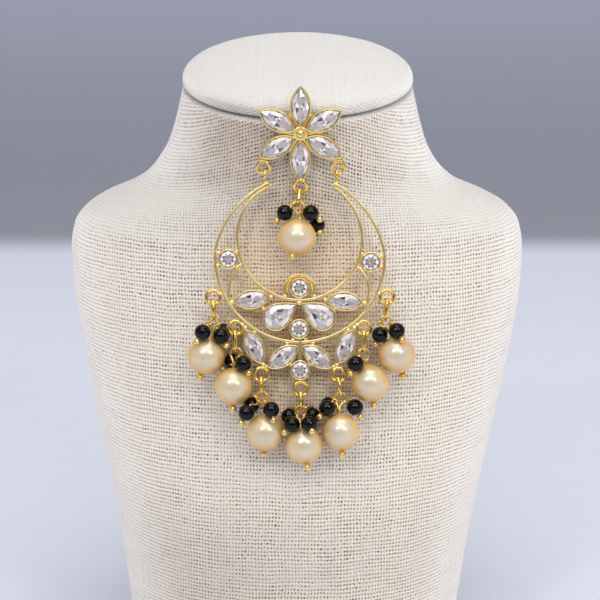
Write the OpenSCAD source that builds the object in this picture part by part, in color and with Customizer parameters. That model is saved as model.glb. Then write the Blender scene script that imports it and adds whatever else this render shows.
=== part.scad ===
// Chandbali earring pinned to a linen covered neck bust.
// A six petal flower stud carries a hinged crescent and a centre drop.
// Millimetres. Origin: middle of the bust's flat bottom. +Z up, front faces -Y.

/* [Placement] */
// Sideways place of the earring on the bust
earring_x = 0.7; // [0:0.1:1.2]
// Forward place of the crescent's datum point
crescent_y = -32; // [-33:0.1:-32]
// Height of the crescent's datum point
crescent_z = 85.5; // [85:0.1:86]
// Lean of the crescent, its bottom forward
lean = 15; // [15:0.1:16]
// Forward place of the flower's middle plane
flower_y = -25.15; // [-25.3:0.05:-25.15]
// Height of the flower's centre
flower_z = 119.67; // [119.6:0.01:119.7]

/* [Flower] */
// Radius out to a petal's tip
petal_tip_r = 10.0; // [9.9:0.1:10.1]
// Length of a petal's setting
petal_len = 8.65; // [8.4:0.05:8.7]
// Width of a petal's setting
petal_w = 4.45; // [4.2:0.05:4.5]
// Radius of the gold dome in the middle
dome_r = 0.8; // [0.6:0.1:0.9]
// Depth of a setting from back to rim
setting_h = 1.65; // [1.5:0.05:1.7]
// Thickness of a setting's wall
wall = 0.32; // [0.28:0.01:0.34]
// Gap between a stone and its setting
stone_gap = 0.05; // [0.03:0.01:0.08]

/* [Crescent] */
// Width of the crescent's wires, seen from the front
wire_w = 0.62; // [0.55:0.01:0.65]
// Depth of the crescent's wires
wire_h = 0.9; // [0.8:0.05:1]
// Outer radius of a round setting
round_r = 2.15; // [2.1:0.05:2.2]
// Half length of a marquise setting
marquise_a = 4.0; // [3.9:0.05:4.05]
// Half width of a marquise setting
marquise_b = 2.1; // [2:0.05:2.15]

/* [Rings] */
// Wire radius of the rings soldered to the flower
flower_ring_wire = 0.37; // [0.35:0.005:0.375]
// Middle radius of the rings soldered to the flower
flower_ring_r = 1.33; // [1.32:0.01:1.34]
// Wire radius of the rings soldered to the crescent
ring_wire = 0.4; // [0.38:0.01:0.41]
// Middle radius of the rings soldered to the crescent
ring_r = 1.44; // [1.43:0.01:1.46]
// Wire radius of the crescent's two hanging loops
loop_wire = 0.3; // [0.28:0.01:0.31]
// Middle radius of the crescent's two hanging loops
loop_r = 1.05; // [1.04:0.01:1.08]

/* [Drops] */
// Radius of a pearl
pearl_r = 4.0; // [3.9:0.01:4]
// Radius of a black bead
bead_r = 1.65; // [1.6:0.01:1.66]
// Radius of the gold ball under a pearl
ball_r = 0.75; // [0.7:0.01:0.77]
// Radius of the gold ball on a bead's pin
small_ball_r = 0.72; // [0.68:0.01:0.73]
// Wire radius of an eye loop
eye_wire = 0.2; // [0.18:0.01:0.21]
// Middle radius of an eye loop
eye_r = 1.15; // [1.15:0.01:1.18]
// Wire radius of a jump link
link_wire = 0.42; // [0.4:0.01:0.43]
// Middle radius of a jump link's round end
link_end = 1.05; // [1.05:0.01:1.07]

/* [Bust] */
// Levels of the torso's surface
bust_levels = 22; // [16:2:30]
// Levels of the neck's surface
neck_levels = 8; // [6:1:12]
// Steps around the bust
bust_steps = 48; // [40:4:64]
// Width of the open crease under the cap
crease = 0.4; // [0.3:0.05:0.6]
// Height of the cap's crown above the crease
cap_h = 6.8; // [6:0.1:7.5]

/* [Hidden] */
$fn = 48;

gold = "#d9a934";
crystal = "#e8e8f2";
cream = "#e9c48c";
jet = "#151518";
linen = "#e3dccf";

// ---------- bust ----------

// z, sideways shift, half width, front y, back y, fullness of the outline
BUST = [
  [0.0,   -0.7, 36.8, -36.5, 24.0, 2.30],
  [20.0,  -0.5, 39.3, -39.0, 25.0, 2.30],
  [40.0,  -0.3, 42.6, -39.8, 26.0, 2.30],
  [55.0,  -0.1, 45.5, -36.8, 26.5, 2.30],
  [70.0,   0.1, 48.2, -32.8, 27.0, 2.30],
  [82.0,   0.1, 49.9, -29.6, 27.0, 2.30],
  [90.0,   0.0, 50.2, -27.4, 27.0, 2.30],
  [95.0,   0.0, 49.4, -26.0, 26.8, 2.30],
  [98.5,   0.0, 46.8, -25.0, 26.6, 2.20],
  [101.0, -0.2, 42.8, -24.4, 26.4, 2.15],
  [103.5, -0.3, 36.9, -23.9, 26.2, 2.10],
  [106.0, -0.1, 33.3, -23.5, 26.0, 2.05],
  [109.0, -0.1, 30.7, -23.3, 25.9, 2.00],
  [113.0,  0.1, 28.5, -23.1, 25.9, 2.00],
  [118.0,  0.2, 27.0, -23.1, 26.1, 2.00],
  [122.0,  0.2, 26.1, -23.2, 26.4, 2.00],
  [125.5,  0.2, 25.3, -23.4, 26.6, 2.00]
];
// Depth at which every outline is widest
bust_mid_y = 1;
// The crease under the cap is a plane, low at the front
crease_z = 125.7;
crease_slope = 0.155;
// Level where the neck's rows begin to follow the crease
neck_z = 112;
// The cap: sideways shift, half width, front depth, back depth
cap = [0.2, 25.25, 24.4, 25.6];

function slope(c, i) = (BUST[i + 1][c] - BUST[i][c]) / (BUST[i + 1][0] - BUST[i][0]);
function tangent(c, i) =
  i == 0 ? slope(c, 0) :
  i == len(BUST) - 1 ? slope(c, i - 1) :
  slope(c, i - 1) * slope(c, i) <= 0 ? 0 :
  2 * slope(c, i - 1) * slope(c, i) / (slope(c, i - 1) + slope(c, i));
function seg(z, i = 0) = (i >= len(BUST) - 2 || z <= BUST[i + 1][0]) ? i : seg(z, i + 1);
function hermite(t, a, b, ma, mb) =
  (2*t*t*t - 3*t*t + 1) * a + (t*t*t - 2*t*t + t) * ma
  + (3*t*t - 2*t*t*t) * b + (t*t*t - t*t) * mb;
function bust_at(z, c) =
  let (i = seg(z), h = BUST[i + 1][0] - BUST[i][0], t = min(1, (z - BUST[i][0]) / h))
  hermite(t, BUST[i][c], BUST[i + 1][c], h * tangent(c, i), h * tangent(c, i + 1));
function swell(s, n) = (s < 0 ? -1 : 1) * pow(abs(s), 2 / n);
function bust_xy(z, a) =
  let (n = bust_at(z, 5), s = swell(sin(a), n), y0 = bust_mid_y)
  [bust_at(z, 1) + bust_at(z, 2) * swell(cos(a), n),
   y0 + s * (s < 0 ? y0 - bust_at(z, 3) : bust_at(z, 4) - y0)];
function crease_at(y) = crease_z + crease_slope * (y - bust_mid_y);

// Torso rows crowd together over the shoulders, neck rows end on the crease
function level(i) = i <= 10 ? i * 9 : 90 + (i - 10) * (neck_z - 90) / (bust_levels - 10);
function bust_row(i) = [for (k = [0:bust_steps - 1])
  let (
    a = 360 * k / bust_steps,
    f = i <= bust_levels ? 0 : (i - bust_levels) / neck_levels,
    zn = i <= bust_levels ? level(i) : neck_z + f * (125.5 - neck_z),
    p = bust_xy(zn, a),
    z = i <= bust_levels ? zn : neck_z + f * (crease_at(p[1]) - crease / 2 - neck_z)
  ) [p[0], p[1], z]];

// Closed skin through equal rows of points, from the bottom row to the top row
module skin(rows) {
  n = len(rows[0]);
  m = len(rows);
  points = [for (r = rows) each r];
  polyhedron(points, [
    [for (k = [0:n - 1]) k],
    [for (k = [n - 1:-1:0]) (m - 1) * n + k],
    for (i = [0:m - 2], k = [0:n - 1])
      let (a = i*n + k, b = i*n + (k + 1) % n, c = (i + 1)*n + (k + 1) % n, d = (i + 1)*n + k)
      each [[a, c, b], [a, d, c]]
  ], convexity = 6);
}

module bust_form() color(linen) difference() {
  skin([for (i = [0:bust_levels + neck_levels]) bust_row(i)]);
  // hole that the stud's post is pushed into
  translate([earring_x + 0.1, -14, flower_z]) rotate([90, 0, 0]) cylinder(r = 0.65, h = 14);
}

// share of the cap's radius, height above the crease
CAP_ROWS = [[0.982, 0], [0.996, 0.25], [1, 0.7],
  for (f = [0.995, 0.985, 0.965, 0.93, 0.87, 0.78, 0.65, 0.48, 0.27, 0.1])
    [f, 0.7 + (cap_h - 0.7) * pow(1 - pow(f, 2.4), 0.4)]];
module neck_cap() color(linen)
  skin([for (r = CAP_ROWS) [for (k = [0:bust_steps - 1])
    let (a = 360 * k / bust_steps,
         x = cap[0] + cap[1] * r[0] * cos(a),
         y = bust_mid_y + r[0] * sin(a) * (sin(a) < 0 ? cap[2] : cap[3]))
    [x, y, crease_at(y) + crease / 2 + r[1]]]]);

// ---------- flat outlines ----------

// Marquise: two arcs that meet in points, half length a, half width b
module marquise(a, b, off = 0) {
  r = (a*a + b*b) / (2*b);
  intersection() {
    translate([0, b - r]) circle(r + off, $fn = 120);
    translate([0, r - b]) circle(r + off, $fn = 120);
  }
}
function marquise_pt(a, b, off, t) =
  let (r = (a*a + b*b) / (2*b), half = acos((r - b) / (r + off)), s = t < 180 ? 1 : -1,
       g = 90 + half * (t < 180 ? t / 90 - 1 : (t - 180) / 90 - 1))
  [s * (r + off) * cos(g) * -1, s * ((r + off) * sin(g) - (r - b))];

// Pear: point at the origin, round end along +X
function pear_pt(l, w, t) = [l / 2 * (1 - cos(t)), 0.6495 * w * sin(t) * abs(sin(t / 2))];
module pear(l, w) polygon([for (k = [0:39]) pear_pt(l, w, k * 9)]);

// Part of a flat ring about c, from angle a0 to a1
module arc(c, r, a0, a1, w = wire_w) translate(c) intersection() {
  difference() { circle(r + w/2, $fn = 180); circle(r - w/2, $fn = 180); }
  polygon(concat([[0, 0]], [for (k = [0:8]) 1.7 * r * [cos(a0 + (a1 - a0) * k/8), sin(a0 + (a1 - a0) * k/8)]]));
}
// Straight bar with round ends
module bar(p, q, w = wire_w) {
  d = norm(q - p);
  translate(p) rotate(atan2(q[1] - p[1], q[0] - p[0])) {
    translate([0, -w/2]) square([d, w]);
    circle(w/2 + 0.01);
    translate([d, 0]) circle(w/2 + 0.01);
  }
}

// ---------- round shapes ----------

module ring(r, wire) rotate_extrude($fn = 96) translate([r, 0]) circle(wire);
// Straight wire between two points
module rod(p, q, r) {
  v = q - p;
  translate(p) rotate([0, acos(v[2] / norm(v)), atan2(v[1], v[0])]) cylinder(r = r, h = norm(v));
}
// Cut stone: a row of points for each level, outline scaled about its middle
module gem(outline, middle, rows) {
  skin([for (r = rows) [for (p = outline) [
    middle[0] + (p[0] - middle[0]) * r[0],
    middle[1] + (p[1] - middle[1]) * r[0], r[1]]]]);
}
// scale, height of a stone's levels: keel, girdle, girdle top, crown, table
GEM_ROWS = [[0.12, -0.58], [0.96, 0.30], [1, 0.36], [1, 0.46], [0.82, 0.86], [0.56, 1.12]];

// ---------- frames of the flower and of the crescent ----------

module on_flower() translate([earring_x + 0.1, flower_y, flower_z]) rotate([90, 0, 0]) children();
module on_crescent() translate([earring_x, crescent_y, crescent_z]) rotate([90 - lean, 0, 0]) children();
module petal_place(i) rotate(60 * i + 90) translate([petal_tip_r - petal_len/2, 0]) children();

// x, y of the flower's three rings
FLOWER_RINGS = [[-7.77, -7.22], [7.86, -7.22], [0, -11.24]];
// x, y of the solder that joins each ring
FLOWER_SOLDER = [[-8.3, -5.55], [8.35, -5.55], [0, -9.75]];

module flower_frame() color(gold) on_flower() {
  difference() {
    union() {
      for (i = [0:5]) petal_place(i) translate([0, 0, -0.9])
        linear_extrude(setting_h) marquise(petal_len/2, petal_w/2);
      for (i = [0:5]) rotate(60 * i) translate([0.5, -0.28, -0.88]) cube([4.2, 0.56, 0.75]);
      translate([0, 0, -0.92]) cylinder(r = 1.5, h = 1.5);
      for (p = FLOWER_SOLDER) translate([p[0], p[1], -0.42]) cylinder(r = 0.52, h = 0.84);
    }
    for (i = [0:5]) petal_place(i) translate([0, 0, -0.65])
      linear_extrude(3) marquise(petal_len/2, petal_w/2, -wall);
  }
  translate([0, 0, 0.45]) sphere(dome_r);
  for (p = FLOWER_RINGS) translate([p[0], p[1], 0]) ring(flower_ring_r, flower_ring_wire);
  // the stud's post, soldered to the back of the flower
  translate([0, 0, -11]) cylinder(r = 0.4, h = 10.3);
}
module petal_stone(i) color(crystal) on_flower() petal_place(i)
  gem([for (t = [0:22.5:337.5]) marquise_pt(petal_len/2, petal_w/2, -wall - stone_gap, t)], [0, 0], GEM_ROWS);

// Wires of the crescent: centre, radius, first angle, last angle
OUTER = [
  [[0, 8.95], 17.8, 175, 362],
  [[2.32, 6.07], 20.57, 116.4, 168],
  [[-2.6, 6.35], 20.6, 7, 60.8]
];
INNER = [
  [[0, 13.05], 13.1, 190, 352],
  [[-2, 13.5], 11.2, 111.4, 195],
  [[-0.5, 12.4], 13.6, -6, 57]
];
BRANCH = [
  [[-6.95, 1.53], 8.02, 133, 188],
  [[8.17, 1.93], 6.3, -27, 51],
  [[-0.1, 2.1], 3.2, -22, 202]
];
// Straight bars: horn ends, and the bar over the bottom stone
BARS = [[[-6.85, 24.35], [-6.25, 23.88]], [[7.45, 24.25], [6.95, 23.85]], [[0, -8.7], [0, -12.9]]];

// Round settings: x, y
ROUND = [[-15.06, 8.55], [14.85, 7.96], [-0.1, 2.5], [-0.2, -6.1], [0.05, -14.75]];
// Marquise settings: x, y, angle
MARQUISE = [[-10.15, 0.1, 7.5], [9.4, -0.3, -5], [-9.6, -9.85, 114.9], [-3.6, -11.95, 35.1],
  [3.6, -11.95, -35.6], [9.6, -9.8, 66.2]];
// Pear settings: point's x, y, angle, length, width
PEAR = [[-0.6, -0.7, 213.5, 8.2, 5.7], [0.3, -0.65, -34.5, 8.15, 5.7]];

// Solder that joins wires, settings and rings: x, y, radius
SOLDER = [
  [-17.15, 9.87, 0.5], [-17.25, 7.2, 0.5], [-13.3, 10.1, 0.5], [-13.2, 6.95, 0.5],
  [17.0, 9.2, 0.5], [16.95, 6.9, 0.5], [13.05, 9.6, 0.5], [12.75, 6.5, 0.5],
  [-3.15, 0.8, 0.55], [3.0, 0.8, 0.55], [-0.1, 0.3, 0.5], [-0.15, -0.6, 0.6],
  [-14.35, -0.55, 0.6], [-6.1, 0.7, 0.5], [5.3, 0.15, 0.5], [13.6, -0.7, 0.6],
  [-7.7, -1.75, 0.55], [7.25, -1.95, 0.5], [-2.05, -4.2, 0.45], [1.75, -4.2, 0.45],
  [-1.5, -8.35, 0.5], [1.2, -8.35, 0.5], [-2.7, -9.0, 0.5], [2.7, -9.0, 0.5],
  [-12.15, -5.2, 0.55], [-11.5, -5.85, 0.6], [-9.55, -6.75, 0.5],
  [12.05, -5.25, 0.55], [11.4, -5.85, 0.6], [10.1, -6.35, 0.5],
  [-7.75, -13.7, 0.6], [-7.0, -14.05, 0.5], [7.75, -13.7, 0.6], [7.0, -14.05, 0.5],
  [-2.0, -13.55, 0.45], [2.1, -13.55, 0.45], [0.1, -16.95, 0.45],
  [-16.5, 1.35, 0.5], [16.5, 1.35, 0.5]
];
// Height on the crescent of the two hanging loops' resting point, and their x
hang_y = 26.5;
LOOP_X = [-7.37, 7.76];
// Slack between a hanging loop and the ring that it hangs on
loop_drop = 0.2;

module cavities() {
  for (p = ROUND) translate([p[0], p[1]]) circle(round_r - wall);
  for (m = MARQUISE) translate([m[0], m[1]]) rotate(m[2]) marquise(marquise_a, marquise_b, -wall);
  for (p = PEAR) translate([p[0], p[1]]) rotate(p[2]) translate([0.42, 0]) pear(p[3] - 0.74, p[4] - 2*wall);
}
module settings() {
  for (p = ROUND) translate([p[0], p[1]]) circle(round_r);
  for (m = MARQUISE) translate([m[0], m[1]]) rotate(m[2]) marquise(marquise_a, marquise_b);
  for (p = PEAR) translate([p[0], p[1]]) rotate(p[2]) pear(p[3], p[4]);
}
module wires() {
  for (a = OUTER) arc(a[0], a[1], a[2], a[3]);
  for (a = INNER) arc(a[0], a[1], a[2], a[3]);
  for (a = BRANCH) arc(a[0], a[1], a[2], a[3], 0.55);
  for (b = BARS) bar(b[0], b[1], 0.66);
}
module crescent_frame() color(gold) on_crescent() {
  difference() {
    union() {
      translate([0, 0, -wire_h/2]) linear_extrude(wire_h) wires();
      translate([0, 0, -0.9]) linear_extrude(setting_h) settings();
      for (s = SOLDER) translate([s[0], s[1], -0.41]) cylinder(r = s[2], h = 0.82);
    }
    translate([0, 0, -0.65]) linear_extrude(3) cavities();
  }
  for (x = LOOP_X) {
    translate([x, hang_y - loop_drop, 0]) rotate([0, 90, 0]) ring(loop_r, loop_wire);
    translate([x - 0.55, 23.75, -0.38]) cube([1.1, 1.6, 0.76]);
  }
  for (d = [1:7]) translate([DROP[d][0], DROP[d][1], 0]) ring(ring_r, ring_wire);
}

module round_stone(i) color(crystal) on_crescent() translate([ROUND[i][0], ROUND[i][1], 0])
  gem([for (t = [0:22.5:337.5]) (round_r - wall - stone_gap) * [cos(t), sin(t)]], [0, 0], GEM_ROWS);
module marquise_stone(i) color(crystal) on_crescent()
  translate([MARQUISE[i][0], MARQUISE[i][1], 0]) rotate(MARQUISE[i][2])
  gem([for (t = [0:22.5:337.5]) marquise_pt(marquise_a, marquise_b, -wall - stone_gap, t)], [0, 0], GEM_ROWS);
module pear_stone(i) color(crystal) on_crescent()
  translate([PEAR[i][0], PEAR[i][1], 0]) rotate(PEAR[i][2]) translate([0.5, 0])
  gem([for (t = [0:20:340]) pear_pt(PEAR[i][3] - 0.88, PEAR[i][4] - 2*wall - 0.14, t)],
      [PEAR[i][3] * 0.56, 0], GEM_ROWS);

// ---------- drops, in the crescent's frame ----------

// ring x, y, depth; eye x, y, depth; pearl x, y, depth; angle and tilt of the pearl's pin
DROP = [
  [-0.1, 23.95, -1.05, -0.35, 19.6, -0.35, -0.6, 13.1, 1.4, -104, 26],
  [-18.2, 0.55, 0, -18.1, -4.3, 0, -19.7, -11.75, -0.4, -107.5, -3],
  [-13.65, -5.85, 0, -13.5, -11.2, 0, -14.0, -18.15, 0.35, -91, 3],
  [-8.15, -15.65, 0, -8.0, -20.4, 0, -7.2, -27.75, 0.85, -95.5, -16],
  [0.15, -18.7, 0, 0.15, -23.4, 0, 0.8, -30.4, 1.6, -81, 13],
  [8.1, -15.7, 0, 8.5, -20.6, 0, 8.5, -27.7, 0.8, -85, 6],
  [13.4, -5.9, 0, 13.4, -11.4, 0, 14.75, -17.45, 0.2, -80, 2],
  [18.25, 0.6, 0, 18.0, -4.5, 0, 20.35, -11.55, -0.7, -73, -5]
];
// drop; bead x, y, depth; pin's angle, tilt forward, reach; hook's angle on the eye
BEADS = [
  [0, -3.2, 18.35, 0.0, -135, 0, 2.33, 160],
  [0, 2.25, 18.25, 1.4, -37, 0, 2.33, 6],
  [0, 3.6, 15.85, -1.38, -70, 40, 2.33, -54],
  [1, -20.35, -6.75, 2.35, -122, 15, 2.33, -150],
  [1, -16.5, -7.5, 1.75, -63, 0, 2.33, -45],
  [1, -16.1, -6.6, -1.9, -7, 0, 3.7, -115],
  [2, -11.85, -13.3, 2.5, -61, 0, 2.33, -15],
  [2, -14.3, -12.9, -2.05, -143, -26, 2.33, -70],
  [3, -11.2, -23.6, 2.3, -117, 0, 2.33, -118],
  [3, -10.2, -22.1, -1.7, -144, 0, 2.33, 170],
  [3, -6.0, -22.85, 3.75, -78, 22, 2.33, -38],
  [4, -2.3, -24.5, -1.3, -80, 0, 2.33, 152],
  [4, 2.6, -24.35, -1.35, -95, 0, 2.33, 30],
  [4, -1.7, -25.85, 4.0, -132, 0, 2.33, -115],
  [4, 1.85, -25.8, 4.85, -65, 50, 2.33, -65],
  [5, 5.65, -22.6, 2.1, -129, 0, 2.33, -122],
  [5, 5.95, -22.1, -1.4, -100, -20, 2.33, -176],
  [5, 11.55, -22.5, 0.3, -60, 0, 2.33, -20],
  [6, 11.6, -13.3, 2.65, -118, 10, 2.33, -145],
  [7, 16.75, -7.3, 0.45, -112, -20, 2.33, -160],
  [7, 20.25, -6.45, 1.95, -60, 20, 2.33, -22]
];
// Radius of the hook loops on the bead pins, and their wire
hook_r = 0.5;
hook_wire = 0.15;
hook_slack = 0.08;
// How much thinner a pin's upper wire is than its loop
pin_thin = 0.03;
// Gap between linked wires
link_gap = 0.08;

function ring_pt(d) = [DROP[d][0], DROP[d][1] - (d == 0 ? flower_ring_r : ring_r), DROP[d][2]];
function eye_pt(d) = [DROP[d][3], DROP[d][4], DROP[d][5]];
function pearl_pt(d) = [DROP[d][6], DROP[d][7], DROP[d][8]];
function dir(angle, tilt) = [cos(angle) * cos(tilt), sin(angle) * cos(tilt), sin(tilt)];
function pearl_dir(d) = dir(DROP[d][9], DROP[d][10]);
function bead_pt(b) = [b[1], b[2], b[3]];
function unit(v) = v / norm(v);

// Place a shape with its +Z along v at p
module along(p, v) translate(p) rotate([0, acos(v[2]), atan2(v[1], v[0])]) children();

// Long link seen edge on, between the ring's lowest wire and the eye's top wire
module drop_link(d) color(gold) on_crescent() {
  a = ring_pt(d);
  b = eye_pt(d) + [0, eye_r, 0];
  top = link_end - link_wire - (d == 0 ? flower_ring_wire : ring_wire) - link_gap;
  low = link_end - link_wire - eye_wire - link_gap;
  s = norm(b - a) - top - low;
  along(a, unit(b - a)) translate([0, 0, top]) {
    rotate([90, 0, 0]) rotate_extrude(angle = 180, start = 180) translate([link_end, 0]) circle(link_wire);
    translate([0, 0, s]) rotate([90, 0, 0]) rotate_extrude(angle = 180, start = 0) translate([link_end, 0]) circle(link_wire);
    for (x = [-link_end, link_end]) translate([x, 0, 0]) cylinder(r = link_wire, h = s);
  }
}

// Round bead about the origin, drilled along Z
module drilled(r, hole) difference() {
  sphere(r, $fn = 72);
  translate([0, 0, -r - 1]) cylinder(r = hole, h = 2 * r + 2);
}

module pearl(d) color(cream) on_crescent() along(pearl_pt(d), pearl_dir(d)) drilled(pearl_r, eye_wire + 0.08);

module pins(d) color(gold) on_crescent() {
  // pearl's pin: eye loop, wire bent over the pearl, ball
  e = eye_pt(d);
  top = pearl_pt(d) - (pearl_r + 0.3) * pearl_dir(d);
  side = unit([top[0] - e[0], top[1] - e[1], 0]);
  translate(e) ring(eye_r, eye_wire);
  rod(e + eye_r * side, top, eye_wire - pin_thin);
  translate(top) sphere(eye_wire + 0.04);
  rod(top, pearl_pt(d) + (pearl_r + ball_r) * pearl_dir(d), eye_wire);
  translate(pearl_pt(d) + (pearl_r + ball_r * 0.95) * pearl_dir(d)) sphere(ball_r);
  // bead pins: hook loop on the eye, wire bent over the bead, ball
  for (b = BEADS) if (b[0] == d) {
    v = dir(b[4], b[5]);
    h = [cos(b[7]), sin(b[7]), 0];
    n = bead_pt(b) - (bead_r + 0.25) * v;
    translate(e + (eye_r + hook_slack) * h) rotate(b[7]) rotate([90, 0, 0]) ring(hook_r, hook_wire);
    rod(e + (eye_r + hook_slack + hook_r) * h, n, hook_wire - pin_thin);
    translate(n) sphere(hook_wire + 0.04);
    rod(n, bead_pt(b) + b[6] * v, hook_wire);
    translate(bead_pt(b) + b[6] * v) sphere(small_ball_r);
  }
}

module beads(d) color(jet) on_crescent() for (b = BEADS) if (b[0] == d)
  along(bead_pt(b), dir(b[4], b[5])) drilled(bead_r, hook_wire + 0.07);

bust_form();
neck_cap();
flower_frame();
petal_stone(0);  // petal_stone_1
petal_stone(1);  // petal_stone_2
petal_stone(2);  // petal_stone_3
petal_stone(3);  // petal_stone_4
petal_stone(4);  // petal_stone_5
petal_stone(5);  // petal_stone_6
crescent_frame();
round_stone(0);  // round_stone_left
round_stone(1);  // round_stone_right
round_stone(2);  // round_stone_arch
round_stone(3);  // round_stone_centre
round_stone(4);  // round_stone_bottom
marquise_stone(0);  // side_marquise_left
marquise_stone(1);  // side_marquise_right
pear_stone(0);  // pear_stone_left
pear_stone(1);  // pear_stone_right
marquise_stone(2);  // low_marquise_1
marquise_stone(3);  // low_marquise_2
marquise_stone(4);  // low_marquise_3
marquise_stone(5);  // low_marquise_4
drop_link(0);  // link_centre
drop_link(1);  // link_1
drop_link(2);  // link_2
drop_link(3);  // link_3
drop_link(4);  // link_4
drop_link(5);  // link_5
drop_link(6);  // link_6
drop_link(7);  // link_7
pearl(0);  // pearl_centre
pearl(1);  // pearl_1
pearl(2);  // pearl_2
pearl(3);  // pearl_3
pearl(4);  // pearl_4
pearl(5);  // pearl_5
pearl(6);  // pearl_6
pearl(7);  // pearl_7
pins(0);  // pins_centre
pins(1);  // pins_1
pins(2);  // pins_2
pins(3);  // pins_3
pins(4);  // pins_4
pins(5);  // pins_5
pins(6);  // pins_6
pins(7);  // pins_7
beads(0);  // beads_centre
beads(1);  // beads_1
beads(2);  // beads_2
beads(3);  // beads_3
beads(4);  // beads_4
beads(5);  // beads_5
beads(6);  // beads_6
beads(7);  // beads_7
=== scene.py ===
"""Looks of the chandbali earring on its linen neck bust. Tables are in millimetres, as in the CAD source."""
import math

import bpy
import numpy as np
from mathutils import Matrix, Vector, noise


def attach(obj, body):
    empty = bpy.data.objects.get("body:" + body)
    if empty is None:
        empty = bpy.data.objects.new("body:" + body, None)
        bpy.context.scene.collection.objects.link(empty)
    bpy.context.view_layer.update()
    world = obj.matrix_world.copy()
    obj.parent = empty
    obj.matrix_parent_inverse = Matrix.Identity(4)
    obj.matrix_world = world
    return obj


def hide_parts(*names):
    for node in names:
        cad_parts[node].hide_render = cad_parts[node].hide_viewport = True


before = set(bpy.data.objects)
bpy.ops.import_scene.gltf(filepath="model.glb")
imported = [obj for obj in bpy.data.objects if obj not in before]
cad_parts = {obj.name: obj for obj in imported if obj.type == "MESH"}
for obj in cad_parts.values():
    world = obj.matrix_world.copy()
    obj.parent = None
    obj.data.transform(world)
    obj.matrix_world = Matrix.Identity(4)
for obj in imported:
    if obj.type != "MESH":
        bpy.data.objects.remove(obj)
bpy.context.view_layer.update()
MM = 0.001
scene = bpy.context.scene

# ---------------------------------------------------------------- camera
EARRING_X, CRESCENT_Y, CRESCENT_Z, LEAN = 0.7, -32.0, 85.5, 15.0
FLOWER_Y, FLOWER_Z = -25.15, 119.67
CAM_DIST = 480.0
SIN, COS = math.sin(math.radians(LEAN)), math.cos(math.radians(LEAN))

cam_data = bpy.data.cameras.new("camera")
cam_data.lens, cam_data.sensor_width = 137.14, 36.0
cam_data.clip_start, cam_data.clip_end = 0.01, 20.0
cam = bpy.data.objects.new("camera", cam_data)
scene.collection.objects.link(cam)
cam.location = (EARRING_X * MM, (CRESCENT_Y - CAM_DIST * COS) * MM, (CRESCENT_Z + CAM_DIST * SIN) * MM)
cam.rotation_euler = (math.radians(90 - LEAN), 0, 0)
scene.camera = cam


# ---------------------------------------------------------------- frames
def plain(p):
    return np.asarray(p, float)


def on_crescent(p):
    p = np.asarray(p, float)
    return np.column_stack([
        EARRING_X + p[:, 0],
        CRESCENT_Y + p[:, 1] * SIN - p[:, 2] * COS,
        CRESCENT_Z + p[:, 1] * COS + p[:, 2] * SIN,
    ])


def on_flower(p):
    p = np.asarray(p, float)
    return np.column_stack([EARRING_X + 0.1 + p[:, 0], FLOWER_Y - p[:, 2], FLOWER_Z + p[:, 1]])


# ---------------------------------------------------------------- mesh making
class Shape:
    """Vertices in millimetres and faces, with a material number and a smooth flag for each face."""

    def __init__(self):
        self.v, self.f, self.m, self.s, self.n = [], [], [], [], 0

    def add(self, made, mat=0, smooth=True):
        v, f = made
        v = np.asarray(v, float)
        self.v.append(v)
        self.f += [tuple(i + self.n for i in q) for q in f]
        self.m += [mat] * len(f)
        self.s += [smooth] * len(f)
        self.n += len(v)
        return self


def piece(name, shape, place, mats, body, nodes, sharp=None):
    mesh = bpy.data.meshes.new(name)
    v = place(np.vstack(shape.v)) * MM
    mesh.from_pydata([tuple(p) for p in v], [], shape.f)
    mesh.polygons.foreach_set("material_index", shape.m)
    mesh.polygons.foreach_set("use_smooth", shape.s)
    if sharp:
        mesh.set_sharp_from_angle(angle=math.radians(sharp))
    for m in mats:
        mesh.materials.append(m)
    mesh.validate()
    mesh.update()
    ob = bpy.data.objects.new(name, mesh)
    scene.collection.objects.link(ob)
    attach(ob, body)
    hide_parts(*nodes)
    return ob


def unit(v):
    v = np.asarray(v, float)
    return v / np.linalg.norm(v)


def grid_faces(rows, cols, wrap_rows=False, wrap_cols=True):
    f = []
    for i in range(rows if wrap_rows else rows - 1):
        j = (i + 1) % rows
        for k in range(cols if wrap_cols else cols - 1):
            l = (k + 1) % cols
            f.append((i * cols + k, i * cols + l, j * cols + l, j * cols + k))
    return f


def circle_profile(r, sides):
    t = np.arange(sides) * 2 * math.pi / sides
    return np.column_stack([np.cos(t), np.sin(t)]) * r


def round_bar_profile(w, h, r, steps=4):
    """Rounded rectangle, w across the path in its plane, h along the frame's depth."""
    out = []
    for cx, cy, a in ((w / 2 - r, h / 2 - r, 0), (r - w / 2, h / 2 - r, 90), (r - w / 2, r - h / 2, 180), (w / 2 - r, r - h / 2, 270)):
        for k in range(steps):
            g = math.radians(a + 90 * k / (steps - 1))
            out.append((cx + r * math.cos(g), cy + r * math.sin(g)))
    return np.array(out)


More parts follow.
